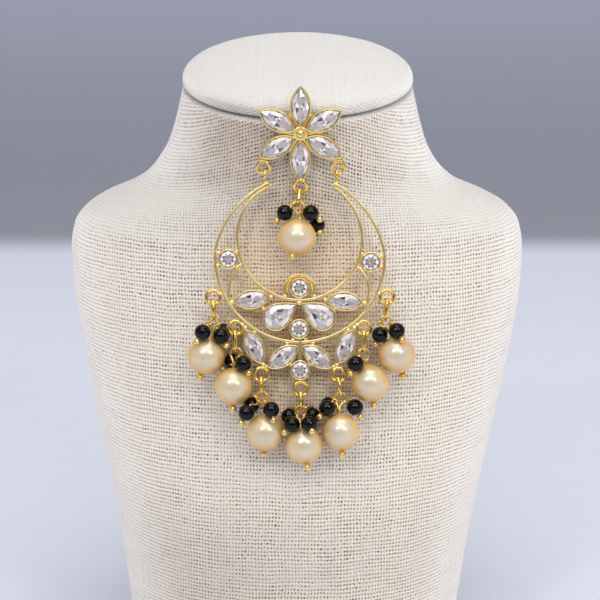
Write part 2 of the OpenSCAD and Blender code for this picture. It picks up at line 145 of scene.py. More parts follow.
def sweep(path, profile, up=None, closed=False, scale=None, dome=True):
    """Profile carried along a path. With up given it is the profile's second axis, else frames turn as little as they can."""
    path = np.asarray(path, float)
    n = len(path)
    if closed:
        tan = np.roll(path, -1, 0) - np.roll(path, 1, 0)
    else:
        tan = np.gradient(path, axis=0)
    tan /= np.linalg.norm(tan, axis=1)[:, None]
    scale = np.ones(n) if scale is None else np.asarray(scale, float)
    a = np.zeros((n, 3))
    if up is not None:
        for i in range(n):
            a[i] = unit(np.cross(up, tan[i]))
    else:
        first = np.array([0, 0, 1.0]) if abs(tan[0][2]) < 0.9 else np.array([1.0, 0, 0])
        a[0] = unit(np.cross(first, tan[0]))
        for i in range(1, n):
            g = a[i - 1] - tan[i] * (a[i - 1] @ tan[i])
            a[i] = unit(g)
    b = np.cross(tan, a)
    m = len(profile)
    rows = []
    if not closed and dome:
        r = float(np.abs(profile).max())
        for t in (88, 60, 30):
            g = math.radians(t)
            rows.append(path[0] - tan[0] * r * 0.8 * math.sin(g) * scale[0] + (profile[:, :1] * a[0] + profile[:, 1:] * b[0]) * math.cos(g) * scale[0])
    for i in range(n):
        rows.append(path[i] + (profile[:, :1] * a[i] + profile[:, 1:] * b[i]) * scale[i])
    if not closed and dome:
        for t in (30, 60, 88):
            g = math.radians(t)
            rows.append(path[-1] + tan[-1] * r * 0.8 * math.sin(g) * scale[-1] + (profile[:, :1] * a[-1] + profile[:, 1:] * b[-1]) * math.cos(g) * scale[-1])
    k = len(rows)
    f = grid_faces(k, m, wrap_rows=closed)
    if not closed:
        f.append(tuple(range(m - 1, -1, -1)))
        f.append(tuple((k - 1) * m + i for i in range(m)))
    return np.vstack(rows), f


def wire(path, r, sides=12, closed=False, scale=None):
    return sweep(path, circle_profile(r, sides), closed=closed, scale=scale)


def smooth_path(points, per=8):
    """Catmull-Rom curve through the points."""
    p = np.asarray(points, float)
    p = np.vstack([2 * p[0] - p[1], p, 2 * p[-1] - p[-2]])
    out = []
    for i in range(1, len(p) - 2):
        for k in range(per):
            t = k / per
            out.append(0.5 * (2 * p[i] + (p[i + 1] - p[i - 1]) * t + (2 * p[i - 1] - 5 * p[i] + 4 * p[i + 1] - p[i + 2]) * t * t
                              + (3 * p[i] - p[i - 1] - 3 * p[i + 1] + p[i + 2]) * t ** 3))
    out.append(p[-2])
    return np.array(out)


def arc_path(c, r, a0, a1, w=0.0, step=2.5):
    n = max(int(abs(a1 - a0) / step), 8)
    t = np.radians(np.linspace(a0, a1, n + 1))
    return np.column_stack([c[0] + r * np.cos(t), c[1] + r * np.sin(t), np.full(n + 1, w)])


def ring_at(c, r, wire_r, steps=64, sides=14):
    t = np.arange(steps) * 2 * math.pi / steps
    path = np.column_stack([c[0] + r * np.cos(t), c[1] + r * np.sin(t), np.full(steps, c[2])])
    return sweep(path, circle_profile(wire_r, sides), up=np.array([0, 0, 1.0]), closed=True)


def basis(v):
    """Columns x, y, z of a frame with z along v, turned the way the CAD source turns its shapes."""
    v = unit(v)
    th, ph = math.acos(max(-1, min(1, v[2]))), math.atan2(v[1], v[0])
    x = np.array([math.cos(th) * math.cos(ph), math.cos(th) * math.sin(ph), -math.sin(th)])
    return np.array([x, np.cross(v, x), v])


def lathe(profile, cols, closed=False):
    """(radius, height) rows turned about Z. A closed profile is a ring, an open one is capped at its ends."""
    t = np.arange(cols) * 2 * math.pi / cols
    v = np.vstack([np.column_stack([r * np.cos(t), r * np.sin(t), np.full(cols, z)]) for r, z in profile])
    f = grid_faces(len(profile), cols, wrap_rows=closed)
    if not closed:
        f.append(tuple(range(cols - 1, -1, -1)))
        f.append(tuple((len(profile) - 1) * cols + i for i in range(cols)))
    return v, f


def placed(made, p, v=None):
    verts, f = made
    if v is not None:
        verts = verts @ basis(v)
    return verts + np.asarray(p, float), f


def rough(made, size, amount, seed=0.0):
    """Small uneven swelling, so that a round shape is not perfectly round."""
    v, f = made
    c = v.mean(0)
    out = np.empty_like(v)
    for i, p in enumerate(v):
        q = p - c
        k = noise.noise(Vector((p[0] / size + seed, p[1] / size - seed, p[2] / size + 2 * seed)))
        out[i] = c + q * (1 + amount * k)
    return out, f


def ball(c, r, rows=14, cols=20, squash=1.0, amount=0.03, seed=0.0, v=None):
    prof = [(r * math.sin(math.pi * k / rows), -r * squash * math.cos(math.pi * k / rows)) for k in range(rows + 1)]
    prof[0] = (r * 0.02, prof[0][1])
    prof[-1] = (r * 0.02, prof[-1][1])
    return placed(rough(lathe(prof, cols), r * 1.3, amount, seed), c, v)


def drilled_bead(r, hole, rows, cols, rim):
    """Round bead about the origin with a hole along Z, its edges rounded by rim."""
    a = math.asin((hole + rim) / r)
    out = []
    for k in range(rows + 1):
        g = a + (math.pi - 2 * a) * k / rows
        out.append((r * math.sin(g), -r * math.cos(g)))
    z = out[-1][1]
    out += [(hole + rim * 0.45, z - rim * 0.02), (hole + rim * 0.1, z - rim * 0.35), (hole, z - rim)]
    out += [(hole, 0.3 * z), (hole, -0.3 * z)]
    out += [(hole, -z + rim), (hole + rim * 0.1, -z + rim * 0.35), (hole + rim * 0.45, -z + rim * 0.02)]
    return lathe(out, cols, closed=True)


# ---------------------------------------------------------------- outlines
PETAL_TIP_R, PETAL_LEN, PETAL_W, DOME_R, WALL = 10.0, 8.65, 4.45, 0.8, 0.32
WIRE_W, WIRE_H, ROUND_R, MARQ_A, MARQ_B = 0.62, 0.9, 2.15, 4.0, 2.1
FLOWER_RING_WIRE, FLOWER_RING_R, RING_WIRE, RING_R, LOOP_WIRE, LOOP_R = 0.37, 1.33, 0.40, 1.44, 0.3, 1.05
PEARL_R, BEAD_R, BALL_R, SMALL_BALL_R, EYE_WIRE, EYE_R, LINK_WIRE, LINK_END = 4.0, 1.65, 0.75, 0.72, 0.2, 1.15, 0.42, 1.05
HOOK_R, HOOK_WIRE, HOOK_SLACK, LINK_GAP = 0.5, 0.15, 0.08, 0.08


def marquise_outline(a, b, off, n):
    r = (a * a + b * b) / (2 * b)
    half = math.acos((r - b) / (r + off))
    out = []
    for k in range(n):
        t = 360 * k / n
        s = 1 if t < 180 else -1
        g = math.pi / 2 + half * (t / 90 - 1 if t < 180 else (t - 180) / 90 - 1)
        out.append((-s * (r + off) * math.cos(g), s * ((r + off) * math.sin(g) - (r - b))))
    return np.array(out)


def round_outline(r, off, n):
    t = np.arange(n) * 2 * math.pi / n
    return np.column_stack([np.cos(t), np.sin(t)]) * (r + off)


def pear_outline(l, w, off, n):
    ll, ww = l + 2.31 * off, w + 2 * off
    t = np.arange(n) * 2 * math.pi / n
    return np.column_stack([ll / 2 * (1 - np.cos(t)) - 1.31 * off, 0.6495 * ww * np.sin(t) * np.abs(np.sin(t / 2))])


def turned(p, x, y, deg):
    c, s = math.cos(math.radians(deg)), math.sin(math.radians(deg))
    p = np.asarray(p, float)
    out = p.copy()
    out[:, 0] = x + p[:, 0] * c - p[:, 1] * s
    out[:, 1] = y + p[:, 0] * s + p[:, 1] * c
    return out


def setting_parts():
    """Every stone: name, place, outline function of (offset, count), middle, frame."""
    out = []
    for i in range(6):
        d = math.radians(60 * i + 90)
        at = PETAL_TIP_R - PETAL_LEN / 2
        out.append(("petal_stone_%d" % (i + 1), on_flower, at * math.cos(d), at * math.sin(d), 60 * i + 90,
                    lambda off, n: marquise_outline(PETAL_LEN / 2, PETAL_W / 2, off, n), 0.0))
    for name, (x, y) in ROUND.items():
        out.append((name, on_crescent, x, y, 11.25 if "arch" in name else 0.0, lambda off, n: round_outline(ROUND_R, off, n), 0.0))
    for name, (x, y, a) in MARQUISE.items():
        out.append((name, on_crescent, x, y, a, lambda off, n: marquise_outline(MARQ_A, MARQ_B, off, n), 0.0))
    for name, (x, y, a, l, w) in PEAR.items():
        out.append((name, on_crescent, x, y, a, lambda off, n, l=l, w=w: pear_outline(l, w, off, n), l * 0.56))
    return out


ROUND = {"round_stone_left": (-15.06, 8.55), "round_stone_right": (14.85, 7.96), "round_stone_arch": (-0.1, 2.5),
         "round_stone_centre": (-0.2, -6.1), "round_stone_bottom": (0.05, -14.75)}
MARQUISE = {"side_marquise_left": (-10.15, 0.1, 7.5), "side_marquise_right": (9.4, -0.3, -5.0), "low_marquise_1": (-9.6, -9.85, 114.9),
            "low_marquise_2": (-3.6, -11.95, 35.1), "low_marquise_3": (3.6, -11.95, -35.6), "low_marquise_4": (9.6, -9.8, 66.2)}
PEAR = {"pear_stone_left": (-0.6, -0.7, 213.5, 8.2, 5.7), "pear_stone_right": (0.3, -0.65, -34.5, 8.15, 5.7)}
# centre x, y, radius, first angle, last angle, width
ARCS = [
    (0, 8.95, 17.8, 175, 362, 0.62), (2.32, 6.07, 20.57, 116.4, 168, 0.62), (-2.6, 6.35, 20.6, 7, 60.8, 0.62),
    (0, 13.05, 13.1, 190, 352, 0.62), (-2, 13.5, 11.2, 111.4, 195, 0.62), (-0.5, 12.4, 13.6, -6, 57, 0.62),
    (-6.95, 1.53, 8.02, 133, 188, 0.55), (8.17, 1.93, 6.3, -27, 51, 0.55), (-0.1, 2.1, 3.2, -22, 202, 0.55),
]
BARS = [(-6.85, 24.35, -6.25, 23.88), (7.45, 24.25, 6.95, 23.85), (0, -8.7, 0, -12.9)]
# x, y, radius
SOLDER = [
    (-17.15, 9.87, 0.5), (-17.25, 7.2, 0.5), (-13.3, 10.1, 0.5), (-13.2, 6.95, 0.5),
    (17.0, 9.2, 0.5), (16.95, 6.9, 0.5), (13.05, 9.6, 0.5), (12.75, 6.5, 0.5),
    (-3.15, 0.8, 0.55), (3.0, 0.8, 0.55), (-0.1, 0.3, 0.5), (-0.15, -0.6, 0.6),
    (-14.35, -0.55, 0.6), (-6.1, 0.7, 0.5), (5.3, 0.15, 0.5), (13.6, -0.7, 0.6),
    (-7.7, -1.75, 0.55), (7.25, -1.95, 0.5), (-2.05, -4.2, 0.45), (1.75, -4.2, 0.45),
    (-1.5, -8.35, 0.5), (1.2, -8.35, 0.5), (-2.7, -9.0, 0.5), (2.7, -9.0, 0.5),
    (-12.15, -5.2, 0.55), (-11.5, -5.85, 0.6), (-9.55, -6.75, 0.5),
    (12.05, -5.25, 0.55), (11.4, -5.85, 0.6), (10.1, -6.35, 0.5),
    (-7.75, -13.7, 0.6), (-7.0, -14.05, 0.5), (7.75, -13.7, 0.6), (7.0, -14.05, 0.5),
    (-2.0, -13.55, 0.45), (2.1, -13.55, 0.45), (0.1, -16.95, 0.45), (-16.5, 1.35, 0.5), (16.5, 1.35, 0.5),
]
HANG_Y, LOOP_X, LOOP_DROP = 26.5, (-7.37, 7.76), 0.2
FLOWER_RINGS = [(-7.77, -7.22), (7.86, -7.22), (0, -11.24)]
FLOWER_SOLDER = [(-8.3, -5.55), (8.35, -5.55), (0, -9.75)]
# ring x, y, depth; eye x, y, depth; pearl x, y, depth; angle and tilt of the pearl's pin
DROP = [
    (-0.1, 23.95, -1.05, -0.35, 19.6, -0.35, -0.6, 13.1, 1.4, -104, 26),
    (-18.2, 0.55, 0, -18.1, -4.3, 0, -19.7, -11.75, -0.4, -107.5, -3),
    (-13.65, -5.85, 0, -13.5, -11.2, 0, -14.0, -18.15, 0.35, -91, 3),
    (-8.15, -15.65, 0, -8.0, -20.4, 0, -7.2, -27.75, 0.85, -95.5, -16),
    (0.15, -18.7, 0, 0.15, -23.4, 0, 0.8, -30.4, 1.6, -81, 13),
    (8.1, -15.7, 0, 8.5, -20.6, 0, 8.5, -27.7, 0.8, -85, 6),
    (13.4, -5.9, 0, 13.4, -11.4, 0, 14.75, -17.45, 0.2, -80, 2),
    (18.25, 0.6, 0, 18.0, -4.5, 0, 20.35, -11.55, -0.7, -73, -5),
]
# drop; bead x, y, depth; pin's angle, tilt, reach; hook's angle on the eye
BEADS = [
    (0, -3.2, 18.35, 0.0, -135, 0, 2.33, 160), (0, 2.25, 18.25, 1.4, -37, 0, 2.33, 6),
    (0, 3.6, 15.85, -1.38, -70, 40, 2.33, -54), (1, -20.35, -6.75, 2.35, -122, 15, 2.33, -150),
    (1, -16.5, -7.5, 1.75, -63, 0, 2.33, -45), (1, -16.1, -6.6, -1.9, -7, 0, 3.7, -115),
    (2, -11.85, -13.3, 2.5, -61, 0, 2.33, -15), (2, -14.3, -12.9, -2.05, -143, -26, 2.33, -70),
    (3, -11.2, -23.6, 2.3, -117, 0, 2.33, -118), (3, -10.2, -22.1, -1.7, -144, 0, 2.33, 170),
    (3, -6.0, -22.85, 3.75, -78, 22, 2.33, -38), (4, -2.3, -24.5, -1.3, -80, 0, 2.33, 152),
    (4, 2.6, -24.35, -1.35, -95, 0, 2.33, 30), (4, -1.7, -25.85, 4.0, -132, 0, 2.33, -115),
    (4, 1.85, -25.8, 4.85, -65, 50, 2.33, -65), (5, 5.65, -22.6, 2.1, -129, 0, 2.33, -122),
    (5, 5.95, -22.1, -1.4, -100, -20, 2.33, -176), (5, 11.55, -22.5, 0.3, -60, 0, 2.33, -20),
    (6, 11.6, -13.3, 2.65, -118, 10, 2.33, -145), (7, 16.75, -7.3, 0.45, -112, -20, 2.33, -160),
    (7, 20.25, -6.45, 1.95, -60, 20, 2.33, -22),
]


# ---------------------------------------------------------------- materials
class Wire:
    """A node socket that takes part in sums, so that a pattern reads as a formula."""

    def __init__(self, nt, socket):
        self.nt, self.socket = nt, socket

    def op(self, name, *others, clamp=False):
        n = self.nt.nodes.new("ShaderNodeMath")
        n.operation, n.use_clamp = name, clamp
        for i, x in enumerate((self,) + others):
            if isinstance(x, Wire):
                self.nt.links.new(x.socket, n.inputs[i])
            else:
                n.inputs[i].default_value = x
        return Wire(self.nt, n.outputs[0])

    def __add__(self, o): return self.op("ADD", o)
    def __sub__(self, o): return self.op("SUBTRACT", o)
    def __mul__(self, o): return self.op("MULTIPLY", o)
    def __truediv__(self, o): return self.op("DIVIDE", o)
    def floor(self): return self.op("FLOOR")
    def fract(self): return self.op("FRACT")
    def abs(self): return self.op("ABSOLUTE")
    def max(self, o): return self.op("MAXIMUM", o)
    def min(self, o): return self.op("MINIMUM", o)
    def clamp(self): return self.op("ADD", 0.0, clamp=True)
    def power(self, o): return self.op("POWER", o)

    def step(self, a, b, out0=0.0, out1=1.0):
        """Smooth step of this value from a to b."""
        n = self.nt.nodes.new("ShaderNodeMapRange")
        n.interpolation_type = "SMOOTHSTEP"
        for name, x in (("Value", self), ("From Min", a), ("From Max", b), ("To Min", out0), ("To Max", out1)):
            if isinstance(x, Wire):
                self.nt.links.new(x.socket, n.inputs[name])
            else:
                n.inputs[name].default_value = x
        return Wire(self.nt, n.outputs[0])


class Mat:
    def __init__(self, name):
        self.m = bpy.data.materials.new(name)
        self.m.use_nodes = True
        self.nt = self.m.node_tree
        self.bsdf = self.nt.nodes["Principled BSDF"]

    def set(self, **kw):
        for k, x in kw.items():
            s = self.bsdf.inputs[k.replace("_", " ")]
            if isinstance(x, Wire):
                self.nt.links.new(x.socket, s)
            else:
                s.default_value = x if not isinstance(x, tuple) or len(x) != 3 or s.type != "RGBA" else (*x, 1)
        return self

    def coords(self, scale=1.0):
        """Object coordinates in millimetres times scale."""
        t = self.nt.nodes.new("ShaderNodeTexCoord")
        n = self.nt.nodes.new("ShaderNodeVectorMath")
        n.operation = "SCALE"
        self.nt.links.new(t.outputs["Object"], n.inputs[0])
        n.inputs["Scale"].default_value = 1000.0 * scale
        return Wire(self.nt, n.outputs[0])

    def noise(self, vec, scale=1.0, detail=2.0, rough=0.5, w=None):
        n = self.nt.nodes.new("ShaderNodeTexNoise")
        n.inputs["Scale"].default_value = scale
        n.inputs["Detail"].default_value = detail
        n.inputs["Roughness"].default_value = rough
        if w is not None:
            n.noise_dimensions = "4D"
            n.inputs["W"].default_value = w
        self.nt.links.new(vec.socket, n.inputs["Vector"])
        return Wire(self.nt, n.outputs[0])

    def white(self, x, y=None):
        n = self.nt.nodes.new("ShaderNodeTexWhiteNoise")
        if y is None:
            n.noise_dimensions = "1D"
            self.nt.links.new(x.socket, n.inputs["W"])
        else:
            n.noise_dimensions = "2D"
            self.nt.links.new(self.combine(x, y).socket, n.inputs["Vector"])
        return Wire(self.nt, n.outputs["Value"])

    def combine(self, x, y, z=0.0):
        n = self.nt.nodes.new("ShaderNodeCombineXYZ")
        for i, q in enumerate((x, y, z)):
            if isinstance(q, Wire):
                self.nt.links.new(q.socket, n.inputs[i])
            else:
                n.inputs[i].default_value = q
        return Wire(self.nt, n.outputs[0])

    def split(self, v):
        n = self.nt.nodes.new("ShaderNodeSeparateXYZ")
        self.nt.links.new(v.socket, n.inputs[0])
        return [Wire(self.nt, o) for o in n.outputs]

    def attribute(self, name):
        n = self.nt.nodes.new("ShaderNodeAttribute")
        n.attribute_name = name
        return Wire(self.nt, n.outputs["Vector"])

    def mix(self, fac, a, b, mode="MIX"):
        n = self.nt.nodes.new("ShaderNodeMix")
        n.data_type, n.blend_type = "RGBA", mode
        for s, x in ((n.inputs[0], fac), (n.inputs[6], a), (n.inputs[7], b)):
            if isinstance(x, Wire):
                self.nt.links.new(x.socket, s)
            else:
                s.default_value = x if not isinstance(x, tuple) else (*x, 1)
        return Wire(self.nt, n.outputs[2])

    def bump(self, height, distance, strength=1.0):
        n = self.nt.nodes.new("ShaderNodeBump")
        n.inputs["Distance"].default_value = distance
        n.inputs["Strength"].default_value = strength
        self.nt.links.new(height.socket, n.inputs["Height"])
        self.nt.links.new(n.outputs[0], self.bsdf.inputs["Normal"])
        return self


def srgb(r, g, b):
    def lin(c):
        c /= 255.0
        return c / 12.92 if c <= 0.04045 else ((c + 0.055) / 1.055) ** 2.4
    return (lin(r), lin(g), lin(b))


def linen_material(name, pitch_u, pitch_v, gap_u, gap_v, thread, deep, hole_power, top_fade, neck_and_foot):
    """Plain weave from its own millimetre coordinates: warp along v, weft along u, holes between."""
    m = Mat(name)
    u0, v0, _ = m.split(m.attribute("weave"))
    p = m.coords()
    px, py, pz = m.split(p)
    nx, ny, nz = m.split(Wire(m.nt, m.nt.nodes.new("ShaderNodeTexCoord").outputs["Normal"]))
    # pulled tighter over the neck and drawn under at the foot, where the weave is more open; on the cap the mask is its
    # upright rim. The same mask carries painted shade, below
    if neck_and_foot:
        open_weave_and_shade = pz.step(88.0, 112.0) + (pz * -1.0).step(-48.0, -22.0) * 0.4
    else:
        open_weave_and_shade = nz.step(0.1, 0.85, 1.0, 0.0)
    wob_u = m.noise(p, 0.11, 2.0) - 0.5
    wob_v = m.noise(p, 0.13, 2.0, w=3.7) - 0.5
    fine = m.noise(p, 1.7, 2.0, 0.6)
    u = u0 / pitch_u + wob_u * 1.5 + (fine - 0.5) * 0.16
    v = v0 / pitch_v + wob_v * 1.4 + (fine - 0.5) * -0.18
    iu, iv = u.floor(), v.floor()
    ru, rv, rh = m.white(iu), m.white(iv + 91.0), m.white(iu, iv)
    slub = m.noise(m.combine(u * 1.0, v * 0.07), 1.0, 1.0)
    slub_v = m.noise(m.combine(u * 0.07, v * 1.0), 1.0, 1.0, w=8.0)
    half_u = (slub - 0.5) * -0.26 + (ru - 0.5) * 0.14 + open_weave_and_shade * 0.03 + gap_u / 2
    half_v = (slub_v - 0.5) * -0.26 + (rv - 0.5) * 0.14 + open_weave_and_shade * 0.03 + gap_v / 2
    slant = (rh - 0.5) * 0.9
    fu, fv = (u.fract() - 0.5).abs(), (v.fract() - 0.5).abs()
    hu = ((u.fract() - 0.5) + (v.fract() - 0.5) * slant).abs()
    edge_u, edge_v = half_u * -1.0 + 0.5, half_v * -1.0 + 0.5
    open_u, open_v = hu.step(edge_u - 0.09, edge_u + 0.09), fv.step(edge_v - 0.09, edge_v + 0.09)
    hole = open_u * open_v * m.white(iu + 17.0, iv).step(0.0, 1.0, 0.45, 1.2)
    sign_u, sign_v = (iu * 0.5).fract() * 4.0 - 1.0, (iv * 0.5).fract() * 4.0 - 1.0
    wave_v, wave_u = (v * math.pi).op("SINE").abs(), (u * math.pi).op("SINE").abs()
    parity = ((iu + iv) * 0.5).fract() * 4.0 - 1.0
    warp = (fu.step(0.15, edge_u + 0.02, 1.0, 0.0)) * 0.55 + parity * wave_v * 0.3
    weft = (fv.step(0.15, edge_v + 0.02, 1.0, 0.0)) * 0.55 - parity * wave_u * 0.3
    height = warp.max(weft) * (hole * -0.85 + 1.0)
    fibre = m.noise(m.combine(u * 2.0, v * 9.0), 1.0, 3.0, 0.7)
    fibre2 = m.noise(m.combine(u * 9.0, v * 2.0), 1.0, 3.0, 0.7)
    # the height term paints shade where the threads dip under one another
    tone = (ru - 0.5) * 0.24 + (rv - 0.5) * 0.26 + (fibre - 0.5) * 0.16 + (fibre2 - 0.5) * 0.16 + height * 0.26
    blotch = m.noise(p, 0.035, 3.0)
    # painted light: a warm, slightly darker patch behind the earring stands for light bounced off the gold and the
    # shade it casts
    near = ((px - 0.7) / 20.0).power(2.0) + ((pz - 82.0) / 27.0).power(2.0)
    warm = near.step(0.35, 1.25, 1.0, 0.0) * py.step(-10.0, -22.0)
    base = m.mix((tone + 0.45 + (blotch - 0.5) * 0.25).clamp(), tuple(c * 0.74 for c in thread), tuple(min(c * 1.08, 0.93) for c in thread))
    # painted shade: the neck, the foot and the cap's upright rim are painted darker, more on the left side, away from
    # the right-hand light
    base = m.mix((open_weave_and_shade * (px.step(4.0, -18.0, 0.24, 0.62))).clamp(), base, m.mix(1.0, base, srgb(178, 170, 162), "MULTIPLY"))
    # painted light: the holes fade on faces that look up, where the top light fills them
    top_light_fill = nz.step(top_fade[0], top_fade[1], 1.0, top_fade[2])
    # painted shade: faces that look up are painted a greyer, slightly darker tone against the bright top light
    base = m.mix(nz.step(0.0, 0.6) * 0.7, base, srgb(211, 208, 203))
    # painted light: faces turned to the sides are painted lighter and their holes fainter, for the side lights
    sides = nx.abs().step(0.5, 0.95)
    base = m.mix(sides * 0.6, base, srgb(243, 240, 235))
    base = m.mix(warm * 0.75, base, m.mix(1.0, base, srgb(255, 238, 214), "MULTIPLY"))
    # the holes take the dark hole colour: painted shade in the gaps between the threads
    col = m.mix((hole * hole_power * top_light_fill * (sides * -0.3 + 1.0)).clamp(), base, deep)
    m.set(Base_Color=col, Roughness=0.88, Sheen_Weight=0.7, Sheen_Roughness=0.36)
    m.bsdf.inputs["Sheen Tint"].default_value = (1.0, 0.97, 0.93, 1.0)
    m.bsdf.inputs["Specular IOR Level"].default_value = 0.25
    m.bump(height, 0.00017, 0.8)
    return m.m


def gold_material(name, base, low, rough_lo, rough_hi, grain):
    """Polished plated metal with soft casting ripples and a slightly darker tone in patches."""
    m = Mat(name)
    p = m.coords()
    big = m.noise(p, 0.35, 2.0)
    fine = m.noise(p, 2.6, 3.0, 0.6)
    tiny = m.noise(p, 11.0, 2.0, 0.6)
    m.set(Base_Color=m.mix(big.step(0.3, 0.75), base, low), Metallic=1.0,
          Roughness=(fine * (rough_hi - rough_lo) + rough_lo + tiny * 0.04))
    m.bump(fine * 0.75 + tiny * 0.25, grain, 0.6)
    return m.m


def crystal_material(name):
    """Cut stone: each facet has its own painted tone, painted reflections of light and dark, with a faint cold or warm
    tint, under a hard clear polish.
    """
    m = Mat(name)
    p = m.coords()
    tone, tint, _ = m.split(m.attribute("facet"))
    t = tone + (m.noise(p, 1.5, 2.0) - 0.5) * 0.30
    col = m.mix(t.step(-0.05, 0.5), srgb(42, 44, 70), srgb(176, 168, 167))
    col = m.mix(t.step(0.5, 1.0), col, srgb(250, 247, 244))
    col = m.mix(0.8, col, m.mix(tint, srgb(255, 240, 226), srgb(238, 241, 249)), "MULTIPLY")
    m.set(Base_Color=col, Roughness=0.05, IOR=1.6, Metallic=0.10, Coat_Weight=1.0, Coat_Roughness=0.0, Coat_IOR=1.6)
    return m.m


def foil_material(name):
    m = Mat(name)
    p = m.coords()
    n = m.noise(p, 1.1, 2.0)
    m.set(Base_Color=m.mix(n, srgb(206, 202, 206), srgb(224, 222, 226)), Metallic=1.0, Roughness=0.2)
    return m.m


def pearl_material(name):
    """Faux pearl: pale cream under a clear lustre, with a painted warm reflection that deepens towards the rim and a
    painted amber bounce underneath.
    """
    m = Mat(name)
    p = m.coords()
    big = m.noise(p, 0.22, 2.0)
    fine = m.noise(p, 1.4, 3.0)
    tiny = m.noise(p, 9.0, 2.0)
    # painted reflection: the base colour turns golden towards the rim, for the gold and warm linen around it
    sheen = m.nt.nodes.new("ShaderNodeLayerWeight")
    sheen.inputs["Blend"].default_value = 0.5
    rim = Wire(m.nt, sheen.outputs["Facing"])
    pale = m.mix((big * 0.75 + fine * 0.25).step(0.3, 0.72), srgb(204, 188, 155), srgb(212, 198, 169))
    # painted reflected light: faces that look down are painted amber, warm light bounced up from below
    under = m.split(Wire(m.nt, m.nt.nodes.new("ShaderNodeTexCoord").outputs["Normal"]))[2].step(-0.35, -0.95, 0.0, 0.6)
    skin = m.mix((rim + (fine - 0.5) * 0.08).step(0.02, 0.60), pale, srgb(216, 172, 96))
    m.set(Base_Color=m.mix(under, skin, srgb(218, 152, 62)),
          Roughness=(fine * 0.08 + 0.34), IOR=1.6, Metallic=0.22, Coat_Weight=1.0, Coat_Roughness=0.20, Coat_IOR=1.85,
          Subsurface_Weight=0.4, Subsurface_Radius=(1.0, 0.7, 0.35), Subsurface_Scale=0.0018)
    m.bump(fine * 0.6 + tiny * 0.4, 0.00002, 0.5)
    return m.m


def jet_material(name):
    m = Mat(name)
    p = m.coords()
    fine = m.noise(p, 1.5, 3.0, 0.6)
    m.set(Base_Color=m.mix(fine, srgb(1, 1, 1), srgb(7, 6, 7)), Roughness=(fine * 0.07 + 0.04))
    m.bsdf.inputs["Specular IOR Level"].default_value = 0.28
    m.bump(fine, 0.00006, 0.6)
    return m.m


# the hole colours of both weaves are painted shade in the gaps between the threads
THREAD, HOLE_SHADE = srgb(234, 223, 208), srgb(88, 60, 42)
MAT = {
    "linen": linen_material("linen_weave", 0.70, 0.87, 0.44, 0.40, THREAD, HOLE_SHADE, 1.0, (0.10, 0.90, 0.25), True),
    "cap": linen_material("cap_linen_weave", 0.62, 0.70, 0.34, 0.32, srgb(230, 225, 216), srgb(140, 124, 108), 0.8, (0.2, 0.75, 0.12), False),
    "gold": gold_material("pale_gold", srgb(253, 231, 166), srgb(246, 218, 140), 0.25, 0.30, 0.000002),
    "gold_deep": gold_material("deep_gold", srgb(250, 218, 128), srgb(242, 202, 102), 0.17, 0.21, 0.000002),
    "gold_satin": gold_material("satin_gold", srgb(250, 218, 138), srgb(242, 204, 112), 0.23, 0.28, 0.000002),
    # gold_dark is used only in the boss's pit: painted shade in the hollow, partly browned plating
    "gold_dark": gold_material("browned_gold_pit_shade", srgb(128, 92, 36), srgb(92, 62, 22), 0.28, 0.42, 0.00003),
    "crystal": crystal_material("crystal_clear"),
    "foil": foil_material("crystal_foil"),
    "pearl": pearl_material("pearl_lustre"),
    "jet": jet_material("black_onyx"),
}

# ---------------------------------------------------------------- bust
# z, sideways shift, half width, front y, back y, fullness of the outline
BUST = np.array([
    (0.0, -0.7, 36.8, -36.5, 24.0, 2.30), (20.0, -0.5, 39.3, -39.0, 25.0, 2.30), (40.0, -0.3, 42.6, -39.8, 26.0, 2.30),
    (55.0, -0.1, 45.5, -36.8, 26.5, 2.30), (70.0, 0.1, 48.2, -32.8, 27.0, 2.30), (82.0, 0.1, 49.9, -29.6, 27.0, 2.30),
    (90.0, 0.0, 50.2, -27.4, 27.0, 2.30), (95.0, 0.0, 49.4, -26.0, 26.8, 2.30), (98.5, 0.0, 46.8, -25.0, 26.6, 2.20),
    (101.0, -0.2, 42.8, -24.4, 26.4, 2.15), (103.5, -0.3, 36.9, -23.9, 26.2, 2.10), (106.0, -0.1, 33.3, -23.5, 26.0, 2.05),
    (109.0, -0.1, 30.7, -23.3, 25.9, 2.00), (113.0, 0.1, 28.5, -23.1, 25.9, 2.00), (118.0, 0.2, 27.0, -23.1, 26.1, 2.00),
    (122.0, 0.2, 26.1, -23.2, 26.4, 2.00), (125.5, 0.2, 25.3, -23.4, 26.6, 2.00),
])
MID_Y, CREASE_Z, CREASE_SLOPE, NECK_Z, CREASE, CAP_H = 1.0, 125.7, 0.155, 112.0, 0.4, 6.8
CAP = (0.2, 25.25, 24.4, 25.6)
BUST_COLS = 192


def bust_at(z, c):
    t = BUST[:, 0]
    i = int(min(max(np.searchsorted(t, z, side="right") - 1, 0), len(t) - 2))

    def slope(k):
        return (BUST[k + 1, c] - BUST[k, c]) / (t[k + 1] - t[k])

    def tangent(k):
        if k == 0:
            return slope(0)
        if k == len(t) - 1:
            return slope(k - 1)
        a, b = slope(k - 1), slope(k)
        return 0.0 if a * b <= 0 else 2 * a * b / (a + b)
    h = t[i + 1] - t[i]
    s = min(1.0, (z - t[i]) / h)
    return ((2 * s**3 - 3 * s * s + 1) * BUST[i, c] + (s**3 - 2 * s * s + s) * h * tangent(i)
            + (3 * s * s - 2 * s**3) * BUST[i + 1, c] + (s**3 - s * s) * h * tangent(i + 1))


def crease_at(y):
    return CREASE_Z + CREASE_SLOPE * (y - MID_Y)


